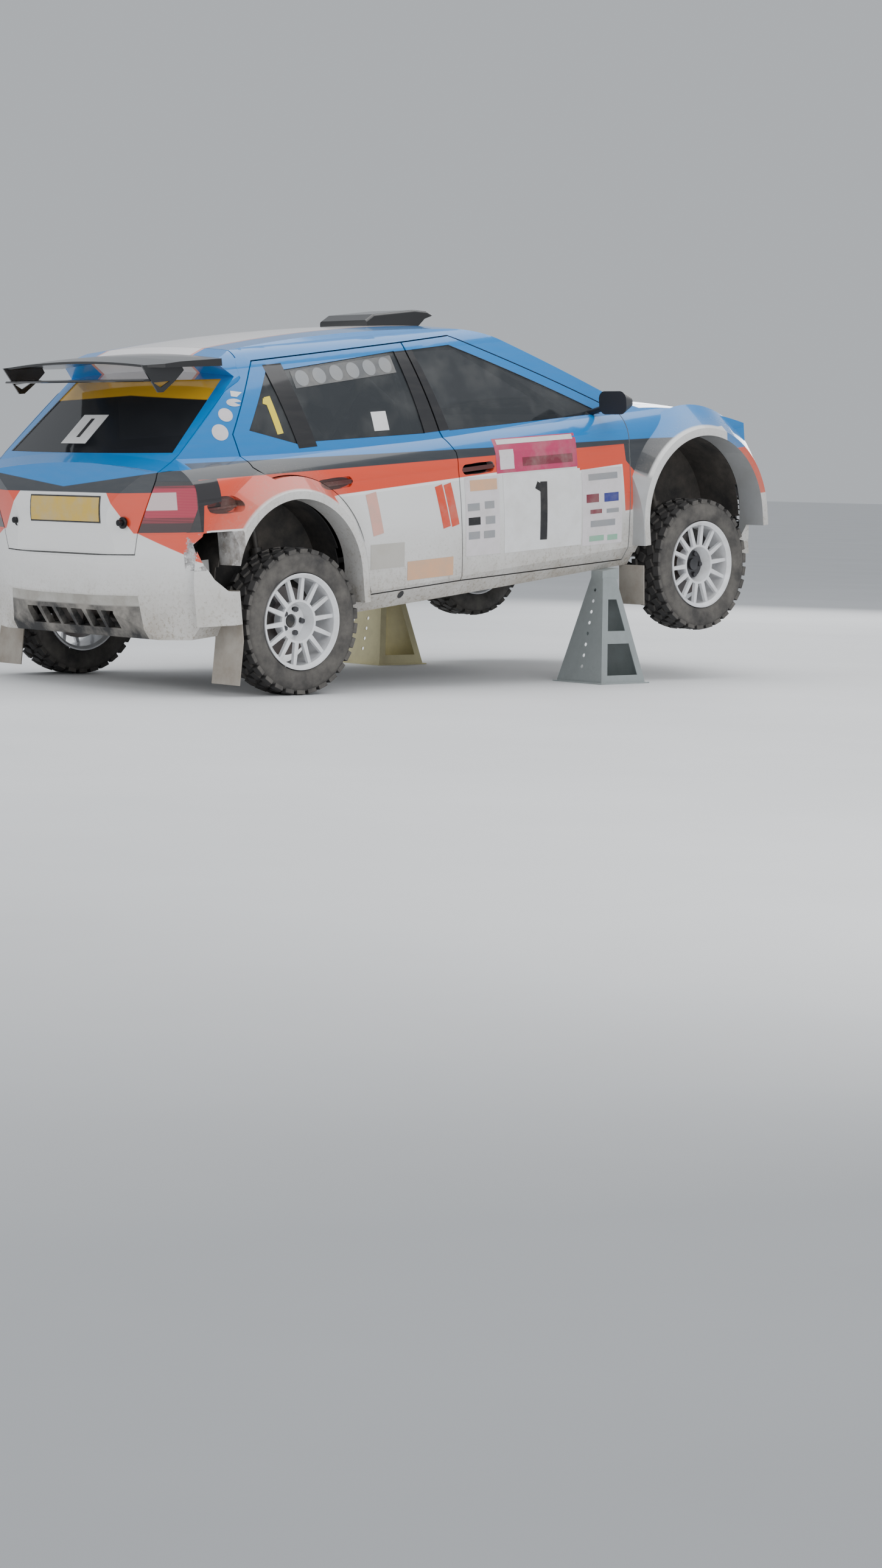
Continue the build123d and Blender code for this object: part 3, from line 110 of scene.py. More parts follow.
class Finish:
    """A painted, moulded or bare surface: one Principled shader and the patterns that feed it."""
    coat_rough = 0.06

    def __init__(self, name, colour=(0.5, 0.5, 0.5), rough=0.5, metal=0.0, coat=0.0, alpha=1.0):
        self.material = bpy.data.materials.new(name)
        self.material.use_nodes = True
        self.tree = self.material.node_tree
        self.shader = self.tree.nodes["Principled BSDF"]
        self.shader.inputs["Base Color"].default_value = (*colour, 1)
        self.shader.inputs["Roughness"].default_value = rough
        self.shader.inputs["Metallic"].default_value = metal
        self.shader.inputs["Coat Weight"].default_value = coat
        self.shader.inputs["Coat Roughness"].default_value = self.coat_rough
        self.shader.inputs["Alpha"].default_value = alpha
        self.where = self.tree.nodes.new("ShaderNodeTexCoord").outputs["Object"]

    def node(self, kind, inputs=(), **settings):
        """A node with its settings, and its inputs set or wired by name or number."""
        made = self.tree.nodes.new(kind)
        for key, value in settings.items():
            setattr(made, key, value)
        for key, value in dict(inputs).items():
            self.feed(made.inputs[key], value)
        return made

    def feed(self, socket, value):
        """Wires a socket to an output, or sets it to a number or a colour."""
        if isinstance(value, bpy.types.NodeSocket):
            self.tree.links.new(value, socket)
        elif isinstance(value, tuple) and len(value) == 3 and socket.type == "RGBA":
            socket.default_value = (*value, 1)
        else:
            socket.default_value = value

    def show(self, colour=None, rough=None, alpha=None):
        """Feeds patterns to the surface's colour, roughness and see-through share."""
        for socket, pattern in (("Base Color", colour), ("Roughness", rough), ("Alpha", alpha)):
            if pattern is not None:
                self.feed(self.shader.inputs[socket], pattern)

    def math(self, operation, first, second=0.0, third=0.0):
        """One sum on numbers or outputs."""
        return self.node("ShaderNodeMath", {0: first, 1: second, 2: third},
                         operation=operation).outputs[0]

    def off(self, value, middle):
        """How far a value is from a middle, either way."""
        return self.math("ABSOLUTE", self.math("SUBTRACT", value, middle))

    def over(self, value, edge, blur=0.0015):
        """1 where a value is over an edge, with a line as sharp as cut vinyl."""
        gap = self.math("SUBTRACT", value, edge)
        return self.node("ShaderNodeMath", {0: gap, 1: 0.5 / blur, 2: 0.5}, operation="MULTIPLY_ADD",
                         use_clamp=True).outputs[0]

    def between(self, value, low, high):
        """1 where a value is between two edges."""
        return self.both(self.over(value, low), self.over(high, value))

    def both(self, *masks):
        """Where all the masks are, times any plain share among them."""
        result = masks[0]
        for mask in masks[1:]:
            result = self.math("MULTIPLY", result, mask)
        return result

    def line(self, along, start, slope):
        """A height or width that changes evenly along the car."""
        return self.math("MULTIPLY_ADD", along, slope, start)

    def mix(self, share, under, upper):
        """One colour laid over another by a share."""
        mixer = self.node("ShaderNodeMix", data_type="RGBA")
        self.feed(mixer.inputs[0], share)
        self.feed(mixer.inputs[6], under)
        self.feed(mixer.inputs[7], upper)
        return mixer.outputs[2]

    def noise(self, scale, detail=3.0, rough=0.6, stretch=None):
        """Soft random blotches of a size, 0 to 1."""
        where = self.where
        if stretch:
            where = self.node("ShaderNodeMapping", {"Vector": where, "Scale": stretch}).outputs[0]
        return self.node("ShaderNodeTexNoise", {"Vector": where, "Scale": scale, "Detail": detail,
                                                "Roughness": rough}).outputs["Fac"]

    def span(self, value, low, high, to_low=0.0, to_high=1.0):
        """A value stretched from one range to another and held there."""
        return self.node("ShaderNodeMapRange", {0: value, 1: low, 2: high, 3: to_low,
                                                4: to_high}).outputs[0]

    def blotches(self, scale, detail, rough, low, high):
        """Random blotches sharpened to patches with soft edges."""
        return self.span(self.noise(scale, detail, rough), low, high)

    def grain(self, height, strength=0.2, depth=0.001):
        """Bump from a pattern."""
        bump = self.node("ShaderNodeBump", {"Height": height, "Strength": strength, "Distance": depth})
        self.tree.links.new(bump.outputs[0], self.shader.inputs["Normal"])

    def coat(self, *nodes):
        """Puts this finish on whole CAD nodes or pieces."""
        for each in nodes:
            piece = frame["nodes"][each] if isinstance(each, str) else each
            piece.data.materials.clear()
            piece.data.materials.append(self.material)
            if isinstance(each, str):
                for slot in piece.material_slots:
                    slot.material = self.material


floor_finish = Finish("pale_floor", (0.76, 0.77, 0.78), 0.8)
floor_finish.show(floor_finish.mix(floor_finish.blotches(0.7, 4, 0.6, 0.3, 0.7),
                                   (0.73, 0.74, 0.75), (0.78, 0.79, 0.8)))
floor_finish.grain(floor_finish.noise(60, 2), 0.15)
floor_finish.coat(floor)

# Body panels. Pressed steel shell, doors, wings, bonnet, hatch and bumpers in gloss paint and
# cut vinyl: blue above, a charcoal belt, an orange band and dusty white below, grey inside.
joints = {joint["name"]: joint for joint in frame["record"]["behaviour"]["joints"]}
rear_hub = Vector(joints["wheel_rear_left_spin"]["pos_m"])
nose_up = radians(7.0)
level_to_stance = (Matrix.Translation((rear_hub.x, 0, rear_hub.z)) @ Matrix.Rotation(-nose_up, 4, "Y")
                   @ Matrix.Translation((0, 0, -rear_hub.z)))
stance_to_level = level_to_stance.inverted()

blue, charcoal, orange = (0.001, 0.2, 0.56), (0.028, 0.034, 0.042), (0.76, 0.07, 0.028)
white, dust, chipped = (0.78, 0.78, 0.77), (0.36, 0.32, 0.265), (0.2, 0.19, 0.18)
pin_white, stripe_white, stripe_edge = (0.9, 0.9, 0.9), (0.85, 0.83, 0.84), (0.75, 0.35, 0.3)
# The second of these is painted shade for the door handle recesses.
trim_black, painted_recess_shade = (0.012, 0.012, 0.014), (0.03, 0.012, 0.012)
lamp_black, vent_black = (0.02, 0.018, 0.02), (0.015, 0.015, 0.016)
inner_grey, inner_shade = (0.42, 0.43, 0.44), (0.33, 0.33, 0.32)
bare_light, bare_dark = (0.5, 0.5, 0.51), (0.17, 0.16, 0.16)


def level_place(finish):
    """X, Y and Z measured on the level car: ahead of the rear axle, to its left, over the ground."""
    turned = finish.node("ShaderNodeMapping", {"Vector": finish.where,
                                               "Location": tuple(stance_to_level.to_translation()),
                                               "Rotation": tuple(stance_to_level.to_euler())})
    axes = finish.node("ShaderNodeSeparateXYZ", {0: turned.outputs[0]}).outputs
    return axes[0], axes[1], axes[2]


def inward_faces(finish, middle):
    """1 on faces that look towards the middle of the car."""
    own = finish.node("ShaderNodeTexCoord").outputs["Normal"]
    out = finish.node("ShaderNodeVectorMath", {0: finish.where, 1: tuple(level_to_stance @ middle)},
                      operation="SUBTRACT").outputs[0]
    facing = finish.node("ShaderNodeVectorMath", {0: own, 1: out},
                         operation="DOT_PRODUCT").outputs["Value"]
    return finish.over(finish.math("MULTIPLY", facing, -1.0), 0.0, 0.01)


paint = Finish("body_livery", blue, 0.3, coat=0.7)
x, y, z = level_place(paint)
half = paint.math("ABSOLUTE", y)
cabin_middle = Vector((1.25, 0, 0.72))
inside = inward_faces(paint, cabin_middle)
tail_starts, nose_starts = -0.425, 2.78
tail = paint.over(paint.math("MULTIPLY", x, -1.0), -tail_starts)
nose = paint.over(x, nose_starts)
flank = paint.math("SUBTRACT", paint.math("SUBTRACT", 1.0, tail), nose)


def squares(place, reach=(1.0, 1.0)):
    """Along and up from a place, each as a share of its reach, squared and added."""
    parts = []
    for axis, middle, size in zip((x, z), place, reach):
        share = paint.math("MULTIPLY", paint.math("SUBTRACT", axis, middle), 1 / size)
        parts.append(paint.math("POWER", share, 2.0))
    return paint.math("ADD", *parts)


# Middle along and up, and radius, of each arch's opening
rear_arch_middle, rear_arch_radius = (0.0, 0.507), 0.351
front_arch_middle, front_arch_radius = (2.605, 0.475), 0.408
rear_round = paint.math("SQRT", squares(rear_arch_middle))
front_round = paint.math("SQRT", squares(front_arch_middle))


def sides():
    """White with an orange band, a charcoal belt and blue above, stepped down on the front wing."""
    wing_starts, wing_falls_from = 2.128, 2.05
    band_over_arch, band_on_doors, arch_middle, arch_reach = 0.765, 0.842, -0.14, 0.39
    band_steps = [(1.79, 0.047), (2.104, 0.225)]        # from here on the band reaches lower by this
    pin_width = 0.012
    # Height at the rear axle, and change per metre ahead of it
    belt_top_line, belt_low_line = (1.03, -0.0565), (0.968, -0.037)
    belt_top = paint.line(x, *belt_top_line)
    belt_low = paint.line(x, *belt_low_line)
    wing_fall = paint.both(paint.over(x, wing_starts), paint.line(x, -wing_falls_from, 1.0))
    belt_low = paint.math("SUBTRACT", belt_low, wing_fall)
    past_arch = paint.over(paint.off(x, arch_middle), arch_reach)
    band_low = paint.span(past_arch, 0, 1, band_over_arch, band_on_doors)
    for step, drop in band_steps:
        band_low = paint.math("SUBTRACT", band_low, paint.both(paint.over(x, step), drop))
    colour = paint.mix(paint.over(z, band_low), white, orange)
    pin_low = paint.math("SUBTRACT", band_low, pin_width)
    colour = paint.mix(paint.between(z, pin_low, band_low), colour, pin_white)
    colour = paint.mix(paint.over(z, belt_low), colour, charcoal)
    return paint.mix(paint.over(z, belt_top), colour, blue)


def flares(colour):
    """White lips round both arches, and white ahead of the front one."""
    rear_lip_width, front_lip_width, soft_edge = 0.042, 0.05, 0.004
    ahead_from, ahead_below = 2.56, 0.915
    rear_lip = paint.over(rear_arch_radius + rear_lip_width, rear_round, soft_edge)
    front_lip = paint.over(front_arch_radius + front_lip_width, front_round, soft_edge)
    ahead_of_arch = paint.both(paint.over(x, ahead_from), paint.over(ahead_below, z))
    colour = paint.mix(ahead_of_arch, colour, white)
    return paint.mix(paint.math("MAXIMUM", rear_lip, front_lip), colour, white)


def tail_end():
    """Blue down to a shallow V, charcoal, a white tapered panel, orange corners and wedges."""
    v_foot, v_rise, v_top, charcoal_from, corners_from = 0.962, 0.1, 1.03, 0.938, 0.763
    panel_half, panel_taper = 1.1506, -0.8824           # at the ground, and change per metre up
    wedge_inner, wedge_foot, wedge_fall = 0.5, 0.973, -0.42
    v_line = paint.math("MINIMUM", paint.line(half, v_foot, v_rise), v_top)
    panel_edge = paint.line(z, panel_half, panel_taper)
    corners = paint.both(paint.over(half, panel_edge), paint.over(z, corners_from))
    wedge_line = paint.line(half, wedge_foot, wedge_fall)
    wedges = paint.both(paint.over(half, wedge_inner), paint.over(z, wedge_line))
    colour = paint.mix(paint.math("MAXIMUM", corners, wedges), white, orange)
    colour = paint.mix(paint.over(z, charcoal_from), colour, charcoal)
    return paint.mix(paint.over(z, v_line), colour, blue)


def nose_end():
    """White bumper with orange corners under a blue bonnet."""
    corner_inner, corner_foot, bonnet_edge = 0.6, 0.56, 0.8
    corners = paint.both(paint.over(half, corner_inner), paint.over(z, corner_foot))
    return paint.mix(paint.over(z, bonnet_edge), paint.mix(corners, white, orange), blue)


def top_stripe(colour):
    """A pale stripe over bonnet and roof with a narrow orange edge."""
    roof_ends, bonnet_starts, over_roof, over_bonnet, roof_starts = 1.6, 2.3, 1.36, 0.9, -0.5
    half_at_axle, half_taper, edge_width = 0.34, -0.055, 0.02
    above = paint.span(x, roof_ends, bonnet_starts, over_roof, over_bonnet)
    on_top = paint.both(paint.over(z, above), paint.over(x, roof_starts))
    stripe_half = paint.line(x, half_at_axle, half_taper)
    edge_half = paint.math("ADD", stripe_half, edge_width)
    colour = paint.mix(paint.both(on_top, paint.over(edge_half, half)), colour, stripe_edge)
    return paint.mix(paint.both(on_top, paint.over(stripe_half, half)), colour, stripe_white)


def black_parts_and_recess_shade(colour):
    """Trim between the side windows, painted shade in the handle recesses, the lamps' surrounds and the
    bonnet vents.
    """
    window_foot, window_top = 1.058, 1.432
    # Middle at the ground, change per metre up, and half width of the black over each bar
    pillar, divider = (paint.over(reach, paint.off(x, paint.line(z, middle, lean)))
                       for middle, lean, reach in ((1.144, -0.16, 0.082), (0.4065, -0.165, 0.05)))
    window_band = paint.both(paint.between(z, window_foot, window_top), flank)
    trim = paint.both(window_band, paint.math("MAXIMUM", pillar, divider))
    colour = paint.mix(trim, colour, trim_black)
    # Painted shade in the handle recesses on the front door, the rear door and the quarter: middle,
    # length, height
    recesses = [((1.153, 0.874), 0.205, 0.052), ((0.295, 0.894), 0.205, 0.052),
                ((-0.326, 0.868), 0.165, 0.075)]
    oval_edge, recess_shade_share = 0.03, 0.93
    for middle, length, height in recesses:
        oval = paint.over(1.0, squares(middle, (length / 2, height / 2)), oval_edge)
        colour = paint.mix(paint.both(oval, flank, recess_shade_share), colour, painted_recess_shade)
    rim_front, rim_lean, rim_inner, rim_foot, rim_top = -0.5627, 0.16, 0.74, 0.764, 0.98
    lamp_rim = paint.both(paint.over(paint.line(z, rim_front, rim_lean), x), paint.over(half, rim_inner),
                          paint.between(z, rim_foot, rim_top))
    colour = paint.mix(lamp_rim, colour, lamp_black)
    vents_start, vents_end, vents_half, vents_over = 2.44, 2.66, 0.4, 0.9
    vents = paint.both(paint.between(x, vents_start, vents_end), paint.over(vents_half, half),
                       paint.over(z, vents_over))
    return paint.mix(vents, colour, vent_black)


def torn_corner(colour):
    """Bare scraped metal on the right, over the ragged edge of the bumper."""
    tear_inner, tear_rear, tear_front, tear_foot, tear_top = 0.72, -0.52, -0.3, 0.6, 0.757
    corner = paint.both(paint.over(paint.math("MULTIPLY", y, -1.0), tear_inner),
                        paint.between(x, tear_rear, tear_front), paint.between(z, tear_foot, tear_top))
    ragged = paint.span(paint.math("ADD", paint.noise(15, 5, 0.7), x), 0.02, 0.06)
    bare = paint.mix(paint.blotches(24, 5, 0.7, 0.4, 0.62), bare_light, bare_dark)
    return paint.mix(paint.math("MULTIPLY", corner, ragged), colour, bare)


colour = paint.mix(tail, flares(sides()), tail_end())
colour = paint.mix(nose, colour, nose_end())
colour = torn_corner(black_parts_and_recess_shade(top_stripe(colour)))

# Road dust: thick on the sills and behind the wheels, thin streaks above, all but clean on top
sill_height, clean_height, arch_edge, arch_clean, arch_share = 0.3, 0.68, 0.36, 0.52, 0.55
skirt_height, skirt_share, spatter_share, haze_share = 0.507, 0.42, 0.5, 0.035
clean_rough, dusty_rough, inner_rough = 0.24, 0.72, 0.15
dust_height = paint.span(z, sill_height, clean_height, 1.0, 0.0)
nearest_arch = paint.math("MINIMUM", rear_round, front_round)
behind_wheels = paint.span(nearest_arch, arch_edge, arch_clean, arch_share, 0.0)
thrown_up = paint.math("MAXIMUM", dust_height, behind_wheels)
cloud = paint.blotches(3.2, 5, 0.65, 0.35, 0.7)
speck = paint.blotches(70, 4, 0.7, 0.52, 0.66)
streak = paint.span(paint.noise(9, 3, 0.6, (0.6, 1.0, 5.0)), 0.4, 0.75)
laid = paint.math("MULTIPLY", thrown_up, paint.math("MULTIPLY_ADD", cloud, 0.6, 0.42))
tail_skirt = paint.both(tail, paint.over(skirt_height, z, 0.01), skirt_share)
laid = paint.math("MAXIMUM", laid, tail_skirt)
spatter = paint.both(speck, thrown_up, spatter_share)
haze = paint.math("MULTIPLY", streak, haze_share)
dirt = paint.node("ShaderNodeMath", {0: paint.math("ADD", laid, spatter), 1: haze}, operation="ADD",
                  use_clamp=True).outputs[0]
colour = paint.mix(dirt, colour, dust)
chips = paint.both(paint.blotches(160, 2, 0.5, 0.71, 0.74), paint.span(z, 0.3, 0.75, 1.0, 0.0))
colour = paint.mix(chips, colour, chipped)
inner_colour = paint.mix(paint.blotches(5, 4, 0.6, 0.35, 0.75), inner_grey, inner_shade)
paint.show(paint.mix(inside, colour, inner_colour),
           paint.math("ADD", paint.span(dirt, 0.0, 1.0, clean_rough, dusty_rough),
                      paint.math("MULTIPLY", inside, inner_rough)))
paint.grain(paint.math("ADD", paint.noise(450, 2), paint.math("MULTIPLY", speck, 0.6)), 0.06)
paint.coat("body_shell", "front_wings", "bonnet", "hatch", "rear_bumper", "front_bumper",
           *[node for node in frame["nodes"] if node.startswith("door_")])

# Glass. Plastic rally panes tinted dark on the sides, with a yellow sun strip across the top of
# the tailgate's and a blue one on the windscreen, which is clearer.
side_tint, screen_tint, tail_tint = (0.03, 0.035, 0.04), (0.06, 0.07, 0.075), (0.02, 0.022, 0.026)
smear_grey, strip_blue, strip_yellow = (0.2, 0.2, 0.19), (0.01, 0.16, 0.42), (0.75, 0.42, 0.03)
side_share, screen_share, tail_share = 0.72, 0.5, 0.8       # how much of the light each pane stops
# Height of each strip's lower edge at the middle, and its change per metre along or across
screen_strip, tail_strip = (1.379, 0.15), (1.325, -0.04)

side_glass = Finish("tinted_glass", side_tint, 0.06, alpha=side_share)
side_glass.shader.inputs["Specular IOR Level"].default_value = 0.9
smear = side_glass.blotches(6, 4, 0.6, 0.45, 0.8)
side_glass.show(side_glass.mix(side_glass.math("MULTIPLY", smear, 0.35), side_tint, smear_grey),
                side_glass.span(smear, 0, 1, 0.04, 0.25))
side_glass.coat("window_front_left", "window_front_right", "window_rear_left", "window_rear_right")

screen_glass = Finish("screen_glass", screen_tint, 0.05, alpha=screen_share)
screen_glass.shader.inputs["Specular IOR Level"].default_value = 0.9
x, y, z = level_place(screen_glass)
sun_strip = screen_glass.over(z, screen_glass.line(x, *screen_strip), 0.003)
screen_glass.show(screen_glass.mix(sun_strip, screen_tint, strip_blue),
                  alpha=screen_glass.span(sun_strip, 0, 1, screen_share, 1.0))
screen_glass.coat("windscreen")

tail_glass = Finish("tailgate_glass", tail_tint, 0.06, alpha=tail_share)
tail_glass.shader.inputs["Specular IOR Level"].default_value = 0.8
x, y, z = level_place(tail_glass)
half = tail_glass.math("ABSOLUTE", y)
sun_strip = tail_glass.over(z, tail_glass.line(half, *tail_strip), 0.002)
tail_glass.show(tail_glass.mix(sun_strip, tail_tint, strip_yellow),
                alpha=tail_glass.span(sun_strip, 0, 1, tail_share, 1.0))
tail_glass.coat("hatch_glass")

# Moulded and woven trim. Black plastic liners, mirrors and dash, and carbon aero parts, with
# mud thrown up under the arches.
plastic = Finish("moulded_plastic", (0.016, 0.016, 0.018), 0.5)
plastic.grain(plastic.noise(380, 2), 0.25, 0.0004)
plastic.coat("dashboard", "steering_wheel", "mirror_left", "mirror_right", "front_grilles")

liner = Finish("muddy_liner", (0.04, 0.038, 0.036), 0.85)
mud = liner.blotches(4.5, 6, 0.65, 0.4, 0.72)
liner.show(liner.mix(liner.math("MULTIPLY", mud, 0.75), (0.028, 0.027, 0.027), (0.15, 0.13, 0.11)))
liner.grain(liner.noise(60, 5, 0.7), 0.5, 0.004)
liner.coat("wheel_housings")

# The diffuser is black below its lip and dressed as the bumper above it
apron = Finish("dirty_diffuser", (0.12, 0.115, 0.11), 0.7)
diffuser_lip = 0.447
x, y, z = level_place(apron)
caked = apron.span(apron.math("ADD", apron.noise(5, 6, 0.65), apron.math("MULTIPLY", z, 0.5)), 0.58, 0.85)
below = apron.mix(caked, (0.03, 0.03, 0.031), (0.3, 0.28, 0.25))
above = apron.mix(caked, (0.48, 0.47, 0.44), (0.33, 0.31, 0.275))
apron.show(apron.mix(apron.over(z, diffuser_lip, 0.004), below, above))
apron.grain(apron.noise(90, 5, 0.7), 0.4, 0.002)
apron.coat("rear_diffuser")

carbon = Finish("lacquered_carbon", (0.012, 0.012, 0.013), 0.3, coat=0.5)
weave = carbon.node("ShaderNodeTexChecker", {"Vector": carbon.where, "Scale": 220.0,
                                             "Color1": (0.011, 0.011, 0.012),
                                             "Color2": (0.02, 0.02, 0.021)})
carbon.show(weave.outputs["Color"])
carbon.coat("rear_wing", "roof_scoop")


# Bare and painted metal. Floor, axles, cage, seats' shells, exhaust and the torn corner's
# alloy bracket, each with the grime of its place.
def metal(name, colour, rough, metallic, grime, amount, *nodes):
    """Painted or bare metal with grime in soft patches."""
    made = Finish(name, colour, rough, metallic)
    share = made.math("MULTIPLY", made.blotches(7, 5, 0.65, 0.38, 0.7), amount)
    made.show(made.mix(share, colour, grime), made.span(share, 0, 1, rough, 0.8))
    made.grain(made.noise(160, 4, 0.6), 0.15, 0.0006)
    made.coat(*nodes)


road_grime = (0.2, 0.175, 0.145)
metal("floor_paint", (0.16, 0.16, 0.165), 0.55, 0.0, road_grime, 0.6, "floor_pan")
metal("axle_paint", (0.03, 0.03, 0.032), 0.45, 0.2, road_grime, 0.6, "front_frame", "rear_axle",
      "strut_mounts", "knuckle_left", "knuckle_right")
metal("skid_alloy", (0.5, 0.5, 0.5), 0.4, 0.9, road_grime, 0.5, "crash_bracket", "sump_guard")
metal("engine_casting", (0.2, 0.2, 0.205), 0.5, 0.7, (0.07, 0.06, 0.05), 0.6, "engine_block")
metal("cage_paint", (0.5, 0.51, 0.52), 0.35, 0.0, (0.4, 0.39, 0.37), 0.3, "roll_cage")
metal("exhaust_steel", (0.25, 0.23, 0.22), 0.4, 0.9, (0.12, 0.08, 0.05), 0.7, "exhaust")
metal("tow_paint", (0.5, 0.03, 0.02), 0.45, 0.0, road_grime, 0.4, "tow_eye")
metal("brake_iron", (0.2, 0.19, 0.19), 0.35, 0.9, (0.12, 0.07, 0.04), 0.5, "brake_disc_rear_left",
      "brake_disc_rear_right", "brake_disc_front_left", "brake_disc_front_right")
metal("stand_zinc", (0.42, 0.46, 0.46), 0.42, 0.55, (0.3, 0.32, 0.32), 0.6, "axle_stand_right")
metal("stand_cream", (0.62, 0.57, 0.33), 0.45, 0.0, (0.36, 0.31, 0.2), 0.5, "axle_stand_left")
metal("seat_shell", (0.02, 0.02, 0.022), 0.6, 0.0, (0.05, 0.05, 0.05), 0.5, "driver_seat", "codriver_seat")
metal("flap_sheet", (0.36, 0.33, 0.29), 0.8, 0.0, (0.24, 0.205, 0.165), 0.9, "mudflaps")

# Lamps. Tail lamps with a wine-red lens, a pale reversing window at the upper inner corner and
# a smoked rim; headlamps clear over a bright bowl, its reflections painted in as wavy light and dark
# bands.
lens_foot, lens_top, lens_outer = 0.806, 0.966, -0.455
tail_lens = Finish("red_lens", (0.3, 0.006, 0.02), 0.12, coat=1.0)
x, y, z = level_place(tail_lens)
half = tail_lens.math("ABSOLUTE", y)
# Lit part and reversing window: inner and outer edge, foot and top
lit_window, reverse_window = (
    tail_lens.both(tail_lens.between(half, inner, outer), tail_lens.between(z, foot, top))
    for inner, outer, foot, top in ((0.545, 0.8, 0.83, 0.955), (0.553, 0.708, 0.862, 0.938)))
rib = tail_lens.node("ShaderNodeTexWave", {"Vector": tail_lens.where, "Scale": 26.0}, bands_direction="Z")
over_foot = tail_lens.over(z, lens_foot)
ribbed = tail_lens.both(rib.outputs["Fac"], over_foot, 0.25)
smoked = tail_lens.math("MAXIMUM", tail_lens.over(x, lens_outer), tail_lens.over(z, lens_top))
colour = tail_lens.mix(over_foot, (0.035, 0.008, 0.01), (0.13, 0.004, 0.012))
for mask, tint in ((lit_window, (0.4, 0.012, 0.045)), (ribbed, (0.5, 0.05, 0.08)),
                   (reverse_window, (0.62, 0.5, 0.5)), (smoked, lamp_black)):
    colour = tail_lens.mix(mask, colour, tint)
tail_lens.show(colour)
tail_lens.coat("tail_lamps")

head_lens = Finish("clear_lens_painted_reflection", (0.55, 0.58, 0.6), 0.08, 0.3, coat=1.0)
# The bowl's bright metal, with its reflections painted in as wavy light and dark bands.
bowl_reflection = head_lens.node("ShaderNodeTexWave", {"Vector": head_lens.where, "Scale": 14.0, "Distortion": 1.5})
head_lens.show(head_lens.mix(bowl_reflection.outputs["Fac"], (0.2, 0.21, 0.22), (0.75, 0.77, 0.8)))
head_lens.coat("headlamps")

# Wheels. Cast white gravel rims with road dust, and block-tread tyres whose sidewalls are
# brown with dust. The tread is moulded in blocks, in two rows on each side of the middle.
rim_white = (0.82, 0.83, 0.85)
rim_paint = Finish("white_rim", rim_white, 0.32, coat=0.4)
dusted = rim_paint.blotches(14, 5, 0.65, 0.4, 0.75)
rim_paint.show(rim_paint.mix(rim_paint.math("MULTIPLY", dusted, 0.4), rim_white, (0.4, 0.37, 0.33)))
rim_paint.coat("rim_rear_left", "rim_rear_right", "rim_front_left", "rim_front_right")

rubber = Finish("dusty_rubber", (0.02, 0.02, 0.021), 0.8)
own_normal = rubber.node("ShaderNodeTexCoord").outputs["Normal"]
across = rubber.node("ShaderNodeSeparateXYZ", {0: own_normal}).outputs[1]
wall_side = rubber.span(rubber.math("ABSOLUTE", across), 0.55, 0.95)
dusted = rubber.blotches(9, 5, 0.65, 0.3, 0.7)
wall_dust = rubber.math("MULTIPLY_ADD", rubber.math("MULTIPLY", wall_side, 0.6), dusted, 0.12)
rubber.show(rubber.mix(wall_dust, (0.016, 0.016, 0.018), (0.2, 0.185, 0.165)))
rubber.grain(rubber.noise(240, 3, 0.6), 0.3, 0.0006)

corners = ("rear_left", "rear_right", "front_left", "front_right")
hubs = {corner: Vector(joints[f"wheel_{corner}_spin"]["pos_m"]) for corner in corners}
# Half of the tyre's outline from the bead over the shoulder to the tread: across, radius
tyre_half_outline = [(0.070, 0.2125), (0.084, 0.216), (0.0925, 0.232), (0.0948, 0.258), (0.0935, 0.280),
                     (0.0880, 0.2965), (0.0780, 0.3065), (0.040, 0.3095)]
tyre_bore = (0.0, 0.2120)
block_foot, block_top, block_bevel = 0.300, 0.3208, 0.0018
tread_pitches, tyre_steps = 30, 96
# Tread blocks of one pitch: length, width, place across, share of a pitch round, turn, shoulder drop
pitch_blocks = [(0.046, 0.034, -0.0715, 0.0, 4, -10), (0.046, 0.034, 0.0715, 0.5, 4, 10),
                (0.041, 0.040, -0.0265, 0.5, 24, 0), (0.041, 0.040, 0.0265, 0.0, -24, 0)]


def lathe(name, outline, steps):
    """Turns an outline of (across, radius) points about the axle line at the origin."""
    bpy.ops.object.select_all(action="DESELECT")
    bpy.ops.mesh.primitive_plane_add(size=0.001, location=(0, 0, 0))
    piece = bpy.context.object
    piece.name = name
    bpy.ops.object.mode_set(mode="EDIT")
    bpy.ops.mesh.merge(type="CENTER")
    bpy.ops.transform.translate(value=(0, *outline[0]))
    for before, after in zip(outline, outline[1:]):
        step = (0, after[0] - before[0], after[1] - before[1])
        bpy.ops.mesh.extrude_region_move(TRANSFORM_OT_translate={"value": step})
    bpy.ops.mesh.select_all(action="SELECT")
    bpy.ops.mesh.spin(steps=steps, angle=2 * pi, center=(0, 0, 0), axis=(0, 1, 0))
    bpy.ops.mesh.select_all(action="SELECT")
    bpy.ops.mesh.remove_doubles(threshold=0.00002)
    bpy.ops.mesh.normals_make_consistent(inside=False)
    bpy.ops.object.mode_set(mode="OBJECT")
    return piece


